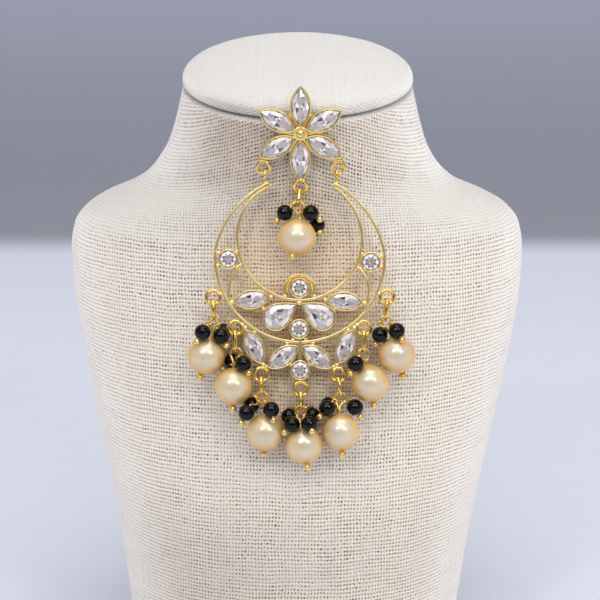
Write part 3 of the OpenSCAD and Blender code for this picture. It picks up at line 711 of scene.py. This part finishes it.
def bust_outline(z, a):
    n = bust_at(z, 5)
    s = np.sign(np.sin(a)) * np.abs(np.sin(a)) ** (2 / n)
    c = np.sign(np.cos(a)) * np.abs(np.cos(a)) ** (2 / n)
    y = MID_Y + np.where(s < 0, s * (MID_Y - bust_at(z, 3)), s * (bust_at(z, 4) - MID_Y))
    return bust_at(z, 1) + bust_at(z, 2) * c, y


def weave_coords(rows):
    """Corner coordinates in millimetres: across along each row from the front middle, up along each column."""
    n = rows.shape[1]
    nxt = np.roll(rows, -1, axis=1)
    seg = np.linalg.norm(nxt - rows, axis=2)
    front = int(np.argmin(np.abs(np.linspace(0, 2 * math.pi, n, endpoint=False) - 1.5 * math.pi)))
    seam = int(np.argmin(np.abs(np.linspace(0, 2 * math.pi, n, endpoint=False) - 0.5 * math.pi)))
    u = np.zeros((rows.shape[0], n + 1))
    order = [(seam + k) % n for k in range(n + 1)]
    for k in range(n):
        u[:, k + 1] = u[:, k] + seg[:, order[k]]
    kf = (front - seam) % n
    u -= u[:, kf:kf + 1]
    step = np.linalg.norm(np.diff(rows, axis=0), axis=2)
    v = np.vstack([np.zeros(n), np.cumsum(step, axis=0)])
    return u, v, order


def linen_shell(name, rows, mat, body, nodes, keel_rows=0, polar=None):
    """Closed skin through rows of points from bottom to top, with the weave's own coordinates on each corner."""
    r, n, _ = rows.shape
    verts = rows.reshape(-1, 3) * MM
    faces = []
    u, v, order = weave_coords(rows)
    pos = {order[k]: k for k in range(n)}
    coords = []
    for i in range(r - 1):
        for k in range(n):
            l = (k + 1) % n
            faces.append((i * n + k, i * n + l, (i + 1) * n + l, (i + 1) * n + k))
            if polar is None:
                q = pos[k]
                coords += [(u[i, q], v[i, k]), (u[i, q + 1], v[i, l]), (u[i + 1, q + 1], v[i + 1, l]), (u[i + 1, q], v[i + 1, k])]
            else:
                coords += [polar[i, k], polar[i, l], polar[i + 1, l], polar[i + 1, k]]
    for i, flip in ((0, True), (r - 1, False)):
        ring = [i * n + k for k in range(n)]
        faces.append(tuple(reversed(ring)) if flip else tuple(ring))
        pts = [(rows[i, k, 0], rows[i, k, 1]) for k in range(n)]
        coords += list(reversed(pts)) if flip else pts
    mesh = bpy.data.meshes.new(name)
    mesh.from_pydata([tuple(p) for p in verts], [], faces)
    att = mesh.attributes.new("weave", "FLOAT_VECTOR", "CORNER")
    att.data.foreach_set("vector", np.column_stack([np.array(coords), np.zeros(len(coords))]).ravel())
    mesh.polygons.foreach_set("use_smooth", [True] * (len(faces) - 2) + [False, False])
    mesh.materials.append(mat)
    mesh.update()
    ob = bpy.data.objects.new(name, mesh)
    scene.collection.objects.link(ob)
    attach(ob, body)
    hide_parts(*nodes)
    return ob


def build_bust():
    a = np.linspace(0, 2 * math.pi, BUST_COLS, endpoint=False)
    # torso heights, closer together over the shoulders, then the neck
    zs = list(np.linspace(1.6, 84, 56)) + list(np.linspace(85, 108, 58)) + list(np.linspace(108.7, 112, 7))
    rows = []
    x0, y0 = bust_outline(0.0, a)
    # the linen turns under the bottom edge
    for s, z in ((0.955, 0.0), (0.972, 0.06), (0.986, 0.35), (0.995, 0.85)):
        rows.append(np.column_stack([x0[0] * 0 + bust_at(0, 1) + (x0 - bust_at(0, 1)) * s, MID_Y + (y0 - MID_Y) * s, np.full(len(a), z)]))
    for z in zs:
        x, y = bust_outline(z, a)
        rows.append(np.column_stack([x, y, np.full(len(a), z)]))
    for f in np.linspace(0, 1, 26)[1:]:
        zn = NECK_Z + f * (125.5 - NECK_Z)
        x, y = bust_outline(zn, a)
        top = crease_at(y) - CREASE / 2 - 0.75
        rows.append(np.column_stack([x, y, NECK_Z + f * (top - NECK_Z)]))
    x, y = bust_outline(125.5, a)
    cx = bust_at(125.5, 1)
    for s, dz in ((0.996, 0.5), (0.984, 0.26), (0.965, 0.1), (0.94, 0.02), (0.88, 0.0)):
        yy = MID_Y + (y - MID_Y) * s
        rows.append(np.column_stack([cx + (x - cx) * s, yy, crease_at(yy) - CREASE / 2 - dz]))
    rows = np.array(rows)
    # back seam: a narrow groove that fades at its ends
    d = np.abs(np.arctan2(np.sin(a - math.pi / 2), np.cos(a - math.pi / 2)))
    for i in range(4, len(rows) - 5):
        x, y = rows[i, :, 0], rows[i, :, 1]
        w = np.exp(-(d * 26.0 / 0.9) ** 2)
        rows[i, :, 1] = y - 0.45 * w
    # gentle unevenness of the padding under the linen
    for i in range(5, len(rows) - 7):
        for k in range(BUST_COLS):
            p = rows[i, k]
            q = noise.noise(Vector(p / 21.0)) * 0.16 + noise.noise(Vector(p / 6.5)) * 0.035
            rows[i, k, 0] -= abs(q) * math.cos(a[k])
            rows[i, k, 1] -= abs(q) * math.sin(a[k])
    return linen_shell("bust_linen", rows, MAT["linen"], "stand", ["bust_form"])


def build_cap():
    a = np.linspace(0, 2 * math.pi, BUST_COLS, endpoint=False)
    prof = [(0.88, 0.0), (0.94, 0.03), (0.965, 0.12), (0.984, 0.32), (0.995, 0.62), (1.0, 1.0)]
    prof += [(1.0, 1.35)]
    for f in (0.9985, 0.995, 0.989, 0.98, 0.968, 0.953, 0.935, 0.91, 0.88, 0.84, 0.79, 0.73, 0.66, 0.58, 0.49, 0.4, 0.31, 0.22, 0.13, 0.05):
        prof.append((f, 1.35 + (CAP_H - 1.35) * (1 - f ** 2.4) ** 0.42))
    rows = []
    for s, h in prof:
        x = CAP[0] + CAP[1] * s * np.cos(a)
        y = MID_Y + s * np.sin(a) * np.where(np.sin(a) < 0, CAP[2], CAP[3])
        rows.append(np.column_stack([x, y, crease_at(y) + CREASE / 2 + h]))
    rows = np.array(rows)
    for i in range(6, len(rows)):
        for k in range(BUST_COLS):
            p = rows[i, k]
            rows[i, k, 2] -= abs(noise.noise(Vector(p / 15.0))) * 0.15
    # straight threads over the crown, carried down round the rim
    step = np.linalg.norm(np.diff(rows[::-1], axis=0), axis=2)
    far = np.vstack([np.linalg.norm(rows[-1] - rows[-1].mean(0), axis=1), step]).cumsum(axis=0)[::-1]
    polar = np.stack([far * np.cos(a), far * np.sin(a)], axis=2)
    ob = linen_shell("cap_linen", rows, MAT["cap"], "stand", ["neck_cap"], polar=polar)
    return ob


# ---------------------------------------------------------------- settings and stones
# offset from the outline, height: from the closed back round the wall and its rim, down to the seat
BEZEL = [(-0.14, -0.90), (-0.04, -0.87), (0.0, -0.78), (0.0, -0.3), (0.0, 0.30), (-0.015, 0.52), (-0.05, 0.66), (-0.11, 0.735),
         (-0.18, 0.75), (-0.25, 0.72), (-0.30, 0.64), (-0.325, 0.52), (-0.33, 0.34), (-0.36, 0.24), (-0.62, -0.2), (-1.0, -0.6)]


def bezel(outline, x, y, deg, n):
    rows = []
    for off, w in BEZEL:
        p = turned(outline(off, n), x, y, deg)
        rows.append(np.column_stack([p, np.full(n, w)]))
    v = np.vstack(rows)
    f = grid_faces(len(rows), n)
    f.append(tuple(range(n - 1, -1, -1)))
    f.append(tuple((len(rows) - 1) * n + i for i in range(n)))
    return v, f


# painted reflection tone of each stone's facets, light and dark, eight sectors from the tip round: inner table, outer
# table, stars, kites, then the two girdle halves
REFLECTION_TONES = {
    "marquise": [(.54, .30, .86, .58, .48, .92, .26, .54), (.52, -.10, .98, .56, .46, -.06, .96, .52), (.42, .78, .54, .40, .44, .82, .48, .38),
                 (.58, .90, .66, .80, .52, .62, .88, .72), (.34, .84, .44, .82, .38, .80, .46, .86), (.80, .40, .86, .36, .82, .44, .76, .40)],
    "round": [(.30, .72, .10, .60, .36, .80, .16, .56), (.58, .16, .66, .30, .52, .12, .70, .34), (.10, .02, .14, .06, .10, .18, .04, .12),
              (.96, .92, .96, .90, .96, .92, .90, .96), (.44, .54, .40, .50, .42, .56, .44, .52), (.54, .42, .50, .46, .54, .40, .50, .44)],
    "pear": [(.62, .54, .86, .44, .80, .50, .26, .64), (.64, .72, .38, .84, .36, .78, .06, .60), (.62, .52, .72, .46, .70, .48, .76, .58),
             (.56, .72, .78, .64, .80, .66, .78, .70), (.60, .44, .76, .48, .76, .46, .78, .54), (.56, .76, .46, .72, .48, .76, .44, .64)],
}


def cut_stone(outline, middle, x, y, deg, reflection_tones, seed, n=16, table=0.56, star=0.80, low=0.52, keel=-0.1):
    """Brilliant cut on any outline: a table in shallow facets, stars, kites and girdle facets above, facets to a keel below."""
    g = outline(-WALL - 0.05, n)
    mid = np.array([middle, 0.0])
    m = n // 2

    def ring(scale, ids, h, wave=0.0):
        return [tuple(mid + (g[i] - mid) * scale) + (h + wave * math.sin(seed + 2.4 * i),) for i in ids]
    even, odd = list(range(0, n, 2)), list(range(1, n, 2))
    v = []
    v += ring(table, even, 1.07)
    v += ring(star, odd, 0.83)
    v += ring(1.0, range(n), 0.47)
    v += ring(1.0, range(n), 0.37)
    v += ring(low, odd, keel * 0.72 + 0.37 * 0.28)
    v += ring(table * 0.52, even, 1.09, 0.025)
    v += [(middle, 0.0, keel), (middle, 0.0, 1.11)]
    T, S, G, B, L, I = 0, m, 2 * m, 2 * m + n, 2 * m + 2 * n, 3 * m + 2 * n
    C, TOP = I + m, I + m + 1
    inner, outer, stars, kites, half_a, half_b = reflection_tones
    turn = m // 2 if math.sin(seed * 3.7) > 0 else 0
    crown, tone = [], []
    for j in range(m):
        k, pj, q = (j + 1) % m, (j - 1) % m, (j + turn) % m
        crown += [(TOP, I + j, I + k), (I + j, T + j, I + k), (T + j, T + k, I + k)]
        tone += [inner[q], outer[q], outer[q] * 0.55 + inner[q] * 0.45]
        crown.append((T + j, S + j, T + k))
        crown.append((T + j, S + pj, G + 2 * j, S + j))
        crown.append((S + j, G + 2 * j, G + 2 * j + 1))
        crown.append((S + j, G + 2 * j + 1, G + (2 * j + 2) % n))
        tone += [stars[q], kites[q], half_a[q], half_b[q]]
    girdle = [(G + i, B + i, B + (i + 1) % n, G + (i + 1) % n) for i in range(n)]
    tone += [0.6] * n
    tone = [t + 0.22 * noise.noise(Vector((seed * 1.3 + 0.5, i * 0.73, 0.2))) for i, t in enumerate(tone)]
    back = []
    for j in range(m):
        pj = (j - 1) % m
        back.append((B + 2 * j, L + j, B + 2 * j + 1))
        back.append((B + 2 * j + 1, L + j, B + (2 * j + 2) % n))
        back.append((B + 2 * j, L + pj, C, L + j))
    v = np.array(v, float)
    v[:, :2] = turned(v[:, :2], x, y, deg)
    return v, crown + girdle, back, tone


def build_stones():
    for i, (name, place, x, y, deg, outline, middle) in enumerate(setting_parts()):
        kind = "round" if "round" in name else "pear" if "pear" in name else "marquise"
        v, crown, back, tone = cut_stone(outline, middle, x, y, deg, REFLECTION_TONES[kind], 1.0 + 1.7 * i, table={"round": 0.52, "pear": 0.58, "marquise": 0.60}[kind],
                                         star=0.80, low={"round": 0.5, "pear": 0.5, "marquise": 0.46}[kind])
        s = Shape()
        s.v.append(v)
        s.n = len(v)
        s.f = crown + back
        s.m = [0] * len(crown) + [1] * len(back)
        s.s = [False] * len(s.f)
        body = "stand" if place is on_flower else "crescent"
        ob = piece("crystal_" + name, s, place, [MAT["crystal"], MAT["foil"]], body, [name])
        tone += [0.6] * len(back)
        # each facet's painted reflection tone and tint go to its corners
        corner = []
        for k, face in enumerate(s.f):
            corner += [(tone[k], 0.5 + 0.9 * noise.noise(Vector((k * 1.37, i * 2.3, 0.4))), 0.0)] * len(face)
        att = ob.data.attributes.new("facet", "FLOAT_VECTOR", "CORNER")
        att.data.foreach_set("vector", np.array(corner).ravel())


def build_flower():
    s = Shape()
    for name, place, x, y, deg, outline, middle in setting_parts():
        if place is on_flower:
            s.add(bezel(outline, x, y, deg, 96))
    # spokes between the petals, tapering outwards
    for i in range(6):
        g = math.radians(60 * i)
        d = np.array([math.cos(g), math.sin(g), 0])
        p = [d * r + np.array([0, 0, h]) for r, h in ((0.6, 0.1), (1.6, -0.12), (3.0, -0.42), (4.3, -0.58))]
        s.add(wire(smooth_path(p, 5), 0.34, 12, scale=np.linspace(1.15, 0.8, 16)), 0)
        s.add(ball(d * 4.35 + np.array([0, 0, -0.56]), 0.33, 8, 12, amount=0.1, seed=i), 0)
    boss = [(0.3, -0.92), (1.5, -0.92), (1.62, -0.8), (1.64, 0.1), (1.58, 0.3), (1.42, 0.44), (1.2, 0.5), (1.02, 0.5), (0.6, 0.42)]
    s.add(rough(lathe(boss, 40), 0.9, 0.02), 0)
    dome = [(0.92 * math.sin(math.radians(g)), 0.45 + 0.78 * math.cos(math.radians(g))) for g in range(120, 19, -8)]
    dome += [(0.29, 1.17), (0.25, 1.12)]
    s.add(rough(lathe(dome, 32), 0.9, 0.02), 0)
    # the pit at the middle of the boss takes gold_dark: painted shade, partly browned plating
    s.add(lathe([(0.27, 1.10), (0.25, 1.145), (0.22, 1.12), (0.17, 1.02), (0.10, 0.97), (0.02, 0.96)], 20), 2)
    for i, (x, y) in enumerate(FLOWER_RINGS):
        s.add(ring_at((x, y, 0), FLOWER_RING_R, FLOWER_RING_WIRE), 1)
    for i, (x, y) in enumerate(FLOWER_SOLDER):
        s.add(ball((x, y, 0), 0.55, 12, 18, squash=0.8, amount=0.12, seed=4 + i), 1)
    s.add(lathe([(0.14, -11.0), (0.26, -10.8), (0.4, -10.35), (0.4, -9.2), (0.34, -9.05), (0.34, -8.75), (0.4, -8.6), (0.4, -0.75)], 24), 0)
    piece("flower_gold", s, on_flower, [MAT["gold"], MAT["gold_deep"], MAT["gold_dark"]], "stand", ["flower_frame"], sharp=42)


def build_crescent():
    s = Shape()
    up = np.array([0, 0, 1.0])
    for cx, cy, r, a0, a1, w in ARCS:
        path = arc_path((cx, cy), r, a0, a1, step=3.0 if r > 5 else 5.0)
        k = np.arange(len(path))
        path[:, :2] += np.column_stack([np.sin(k * 0.9 + r), np.cos(k * 0.7 + cx)]) * 0.018
        s.add(sweep(path, round_bar_profile(w, WIRE_H if w > 0.6 else 0.8, 0.2), up=up), 0)
    for x0, y0, x1, y1 in BARS:
        s.add(sweep(np.array([(x0, y0, 0), ((x0 + x1) / 2, (y0 + y1) / 2, 0), (x1, y1, 0)]), round_bar_profile(0.72, 0.9, 0.12), up=up, dome=False), 0)
    for name, place, x, y, deg, outline, middle in setting_parts():
        if place is on_crescent:
            s.add(bezel(outline, x, y, deg, 72 if "round" in name else 96), 0)
    for i, (x, y, r) in enumerate(SOLDER):
        s.add(ball((x, y, 0.02 * (i % 3)), r * 1.02, 10, 16, squash=0.8, amount=0.16, seed=i * 1.7), 0)
    # grains that fill the space between the arch and its stone
    for k in range(-5, 22):
        g = math.radians(-12 + 204 * (k + 5) / 26)
        s.add(ball((-0.1 + 2.68 * math.cos(g), 2.3 + 2.62 * math.sin(g), -0.1), 0.27, 7, 10, amount=0.14, seed=k + 9), 1)
    for x in LOOP_X:
        t = np.arange(56) * 2 * math.pi / 56
        path = np.column_stack([np.full(56, x), HANG_Y - LOOP_DROP + LOOP_R * np.sin(t), LOOP_R * np.cos(t)])
        s.add(sweep(path, circle_profile(LOOP_WIRE, 14), up=np.array([1.0, 0, 0]), closed=True), 1)
        s.add(sweep(np.array([(x * 0.985, 23.85, 0), (x * 0.99, 24.4, 0), (x, 25.05, 0), (x, 25.3, 0)]), round_bar_profile(0.8, 0.74, 0.2), up=up,
                    scale=[1.15, 1.0, 0.78, 0.7]), 1)
    for d in range(1, 8):
        s.add(ring_at((DROP[d][0], DROP[d][1], 0), RING_R, RING_WIRE), 1)
    piece("crescent_gold", s, on_crescent, [MAT["gold"], MAT["gold_deep"]], "crescent", ["crescent_frame"], sharp=42)


# ---------------------------------------------------------------- drops
def direction(angle, tilt):
    a, t = math.radians(angle), math.radians(tilt)
    return np.array([math.cos(a) * math.cos(t), math.sin(a) * math.cos(t), math.sin(t)])


def build_drops():
    for d in range(8):
        tag = "centre" if d == 0 else str(d)
        body = "stand" if d == 0 else "crescent"
        row = DROP[d]
        eye, pearl = np.array(row[3:6]), np.array(row[6:9])
        pin = direction(row[9], row[10])
        rw, rr = (FLOWER_RING_WIRE, FLOWER_RING_R) if d == 0 else (RING_WIRE, RING_R)
        # link
        a = np.array(row[0:3]) - np.array([0, rr, 0])
        b = eye + np.array([0, EYE_R, 0])
        top = LINK_END - LINK_WIRE - rw - LINK_GAP
        low = LINK_END - LINK_WIRE - EYE_WIRE - LINK_GAP
        run = np.linalg.norm(b - a) - top - low
        ax = basis(b - a)
        t = np.linspace(0, math.pi, 21)
        straight = [run * k / 5 for k in range(1, 5)]
        loop = [(LINK_END * math.cos(math.pi + g), top + LINK_END * math.sin(math.pi + g)) for g in t]
        loop += [(LINK_END, top + z) for z in straight]
        loop += [(LINK_END * math.cos(g), top + run + LINK_END * math.sin(g)) for g in t]
        loop += [(-LINK_END, top + z) for z in reversed(straight)]
        full = [1.0 + 0.25 * math.sin(math.pi * k / 5) ** 0.7 for k in range(1, 5)]
        full = [1.0] * 21 + full + [1.0] * 21 + full
        path = np.array([a + ax[0] * x + ax[2] * z for x, z in loop])
        s = Shape().add(sweep(path, circle_profile(LINK_WIRE, 14), up=ax[1], closed=True, scale=full), 0)
        piece("gold_link_" + tag, s, on_crescent, [MAT["gold_deep"]], body, ["link_" + tag])
        # pearl
        s = Shape().add(placed(rough(drilled_bead(PEARL_R * 0.994, EYE_WIRE + 0.08, 64, 96, 0.16), 4.2, 0.012, d * 2.3), pearl, pin), 0)
        piece("pearl_bead_" + tag, s, on_crescent, [MAT["pearl"]], body, ["pearl_" + tag])
        # pins
        s = Shape()
        tip = pearl - pin * (PEARL_R + 0.3)
        side = unit([tip[0] - eye[0], tip[1] - eye[1], 0])
        g0 = math.degrees(math.atan2(side[1], side[0]))
        hooks = [b[7] for b in BEADS if b[0] == d]

        def free(sgn):
            """Where a leg leaves the eye, away from the beads' hooks."""
            return max((24, 31, 38, 45), key=lambda o: min(abs((g0 + sgn * o - k + 180) % 360 - 180) for k in hooks) - 0.2 * o)
        turn = 1 if d % 2 else -1
        first, last = g0 + turn * free(turn), g0 - turn * free(-turn)
        run = (turn * (last - first)) % 360
        pts = []
        for k in range(15):
            g = math.radians(first + turn * run * k / 14)
            pts.append(eye + np.array([EYE_R * math.cos(g), EYE_R * math.sin(g), 0.08 * (1 - 2 * k / 14)]))
        across = unit(np.cross(pin, [0, 0, 1.0]))
        cut = tip - pin * 0.25 + across * turn * -0.62 + np.array([0, 0, 0.16])
        over = tip - pin * 0.55 + across * turn * -0.06 + np.array([0, 0, 0.34])
        path = smooth_path([cut, over] + pts + [tip - pin * 0.12, tip + pin * 0.2, pearl - pin * (PEARL_R - 0.6)], 5)
        s.add(wire(path, EYE_WIRE * 1.2, 12), 0)
        s.add(wire([pearl - pin * (PEARL_R - 0.6), pearl, pearl + pin * (PEARL_R + 0.4)], EYE_WIRE, 12), 0)
        collar = [(0.2, -0.02), (0.62, 0.0), (0.66, 0.07), (0.5, 0.22), (0.34, 0.36), (0.2, 0.42)]
        s.add(placed(lathe(collar, 28), pearl + pin * (PEARL_R - 0.02), pin), 0)
        s.add(ball(pearl + pin * (PEARL_R + 0.95 * BALL_R), BALL_R * 0.98, 16, 24, amount=0.03, seed=d, v=pin), 0)
        number = 0
        sb = Shape()
        for row_b in BEADS:
            if row_b[0] != d:
                continue
            bead = np.array(row_b[1:4])
            v = direction(row_b[4], row_b[5])
            h = direction(row_b[7], 0)
            side_h = np.array([-h[1], h[0], 0])
            n = bead - v * (BEAD_R + 0.25)
            c = eye + h * (EYE_R + HOOK_SLACK)
            tip_over = math.radians(38 if number % 2 else -34)
            lean = np.array([0, 0, math.cos(tip_over)]) + side_h * math.sin(tip_over)
            across = np.cross(h, lean)
            pts = []
            for k in range(24):
                g = math.radians(48 + 312 * k / 23)
                pts.append(c + h * HOOK_R * math.cos(g) + lean * HOOK_R * math.sin(g) + across * 0.13 * (1 - k / 23))
            q = c + h * HOOK_R
            path = smooth_path(pts[::2] + [q + h * 0.02, q + (n - q) * 0.5, n, bead - v * (BEAD_R - 0.5)], 5)
            s.add(wire(path, HOOK_WIRE * 1.25, 10), 0)
            end = bead + v * row_b[6]
            s.add(wire([bead - v * (BEAD_R - 0.5), bead, end], HOOK_WIRE, 10), 0)
            s.add(ball(end, SMALL_BALL_R * 0.98, 14, 20, amount=0.04, seed=d + number, v=v), 0)
            s.add(placed(lathe([(0.12, -0.06), (0.34, -0.04), (0.36, 0.05), (0.22, 0.2), (0.12, 0.24)], 20), bead + v * (BEAD_R + 0.02), v), 0)
            sb.add(placed(rough(drilled_bead(BEAD_R * 1.03, HOOK_WIRE + 0.07, 36, 52, 0.1), 1.9, 0.02, d * 3.1 + number), bead, v), 0)
            number += 1
        piece("gold_pins_" + tag, s, on_crescent, [MAT["gold_satin"]], body, ["pins_" + tag], sharp=60)
        piece("black_beads_" + tag, sb, on_crescent, [MAT["jet"]], body, ["beads_" + tag])


build_bust()
build_cap()
build_flower()
build_crescent()
build_stones()
build_drops()


# ---------------------------------------------------------------- floor, light
def build_stage():
    """One pale sweep: a table that goes over softly into a grey backdrop far behind."""
    xs = np.linspace(-3000, 3000, 61)
    prof = [(-3000, 0)] + [(y, 0) for y in np.linspace(-2800, 1300, 42)]
    for k in range(1, 13):
        g = math.radians(90 * k / 12)
        prof.append((1300 + 500 * math.sin(g), 500 - 500 * math.cos(g)))
    prof += [(1800, z) for z in (900, 1600, 2600)]
    v = np.array([(x, y, z - 0.02) for y, z in prof for x in xs]) * MM
    n = len(xs)
    f = [(i * n + k, i * n + k + 1, (i + 1) * n + k + 1, (i + 1) * n + k) for i in range(len(prof) - 1) for k in range(n - 1)]
    mesh = bpy.data.meshes.new("sweep")
    mesh.from_pydata([tuple(p) for p in v], [], f)
    mesh.polygons.foreach_set("use_smooth", [True] * len(f))
    m = Mat("sweep_paper")
    p = m.coords(0.001)
    x, y, z = m.split(p)
    back = y.step(0.350, 0.392)
    grain = m.noise(p, 90.0, 2.0)
    table = m.mix(grain, srgb(214, 217, 227), srgb(218, 221, 231))
    wall = m.mix(grain, srgb(146, 148, 157), srgb(150, 152, 161))
    far = m.mix(y.step(0.40, 1.35), wall, tuple(c * 1.95 for c in srgb(154, 157, 168)))
    m.set(Base_Color=m.mix(back, table, far), Roughness=0.75)
    m.bsdf.inputs["Specular IOR Level"].default_value = 0.2
    m.bump(grain, 0.00005, 0.3)
    mesh.materials.append(m.m)
    ob = bpy.data.objects.new("sweep", mesh)
    scene.collection.objects.link(ob)


build_stage()

AIM = Vector((0.0, -0.03, 0.08))


def softbox(name, az, el, dist, wide, high, watts, colour=(1, 1, 1)):
    a, e = math.radians(az), math.radians(el)
    d = Vector((math.sin(a) * math.cos(e), -math.cos(a) * math.cos(e), math.sin(e)))
    data = bpy.data.lights.new(name, "AREA")
    data.shape, data.size, data.size_y, data.energy, data.color = "RECTANGLE", wide, high, watts, colour
    ob = bpy.data.objects.new(name, data)
    scene.collection.objects.link(ob)
    ob.location = AIM + d * dist
    ob.rotation_mode = "QUATERNION"
    ob.rotation_quaternion = (-d).to_track_quat("-Z", "Y")
    ob.visible_camera = False
    return ob


softbox("top", 12, 84, 1.2, 0.9, 0.7, 4.7, (1.0, 0.99, 0.975))
softbox("left", -29, 40, 1.1, 0.12, 0.12, 1.5)
softbox("right", 33, 34, 1.1, 0.12, 0.12, 1.5)
softbox("window", 2, 50, 1.1, 0.85, 0.46, 3.4)
for fill in (softbox("side_left", -80, 10, 1.2, 1.1, 1.1, 8.0), softbox("side_right", 80, 10, 1.2, 1.1, 1.1, 11.0), softbox("front", 10, 2, 1.5, 0.5, 0.5, 0.3)):
    fill.visible_glossy = False

world = bpy.data.worlds.new("studio")
scene.world = world
world.use_nodes = True
wt = world.node_tree
tc = wt.nodes.new("ShaderNodeTexCoord")
dirv = Wire(wt, tc.outputs["Generated"])
sep = wt.nodes.new("ShaderNodeSeparateXYZ")
wt.links.new(dirv.socket, sep.inputs[0])
zup = Wire(wt, sep.outputs[2])
yy = Wire(wt, sep.outputs[1])
strength = zup.step(-0.2, 0.9, 0.40, 0.50) - yy.step(-0.55, -1.0, 0.0, 0.30)
bg = wt.nodes["Background"]
bg.inputs[0].default_value = (*srgb(226, 228, 238), 1)
wt.links.new(strength.socket, bg.inputs[1])

scene.view_settings.view_transform = "Standard"
scene.view_settings.look = "None"
scene.view_settings.exposure = 0.0
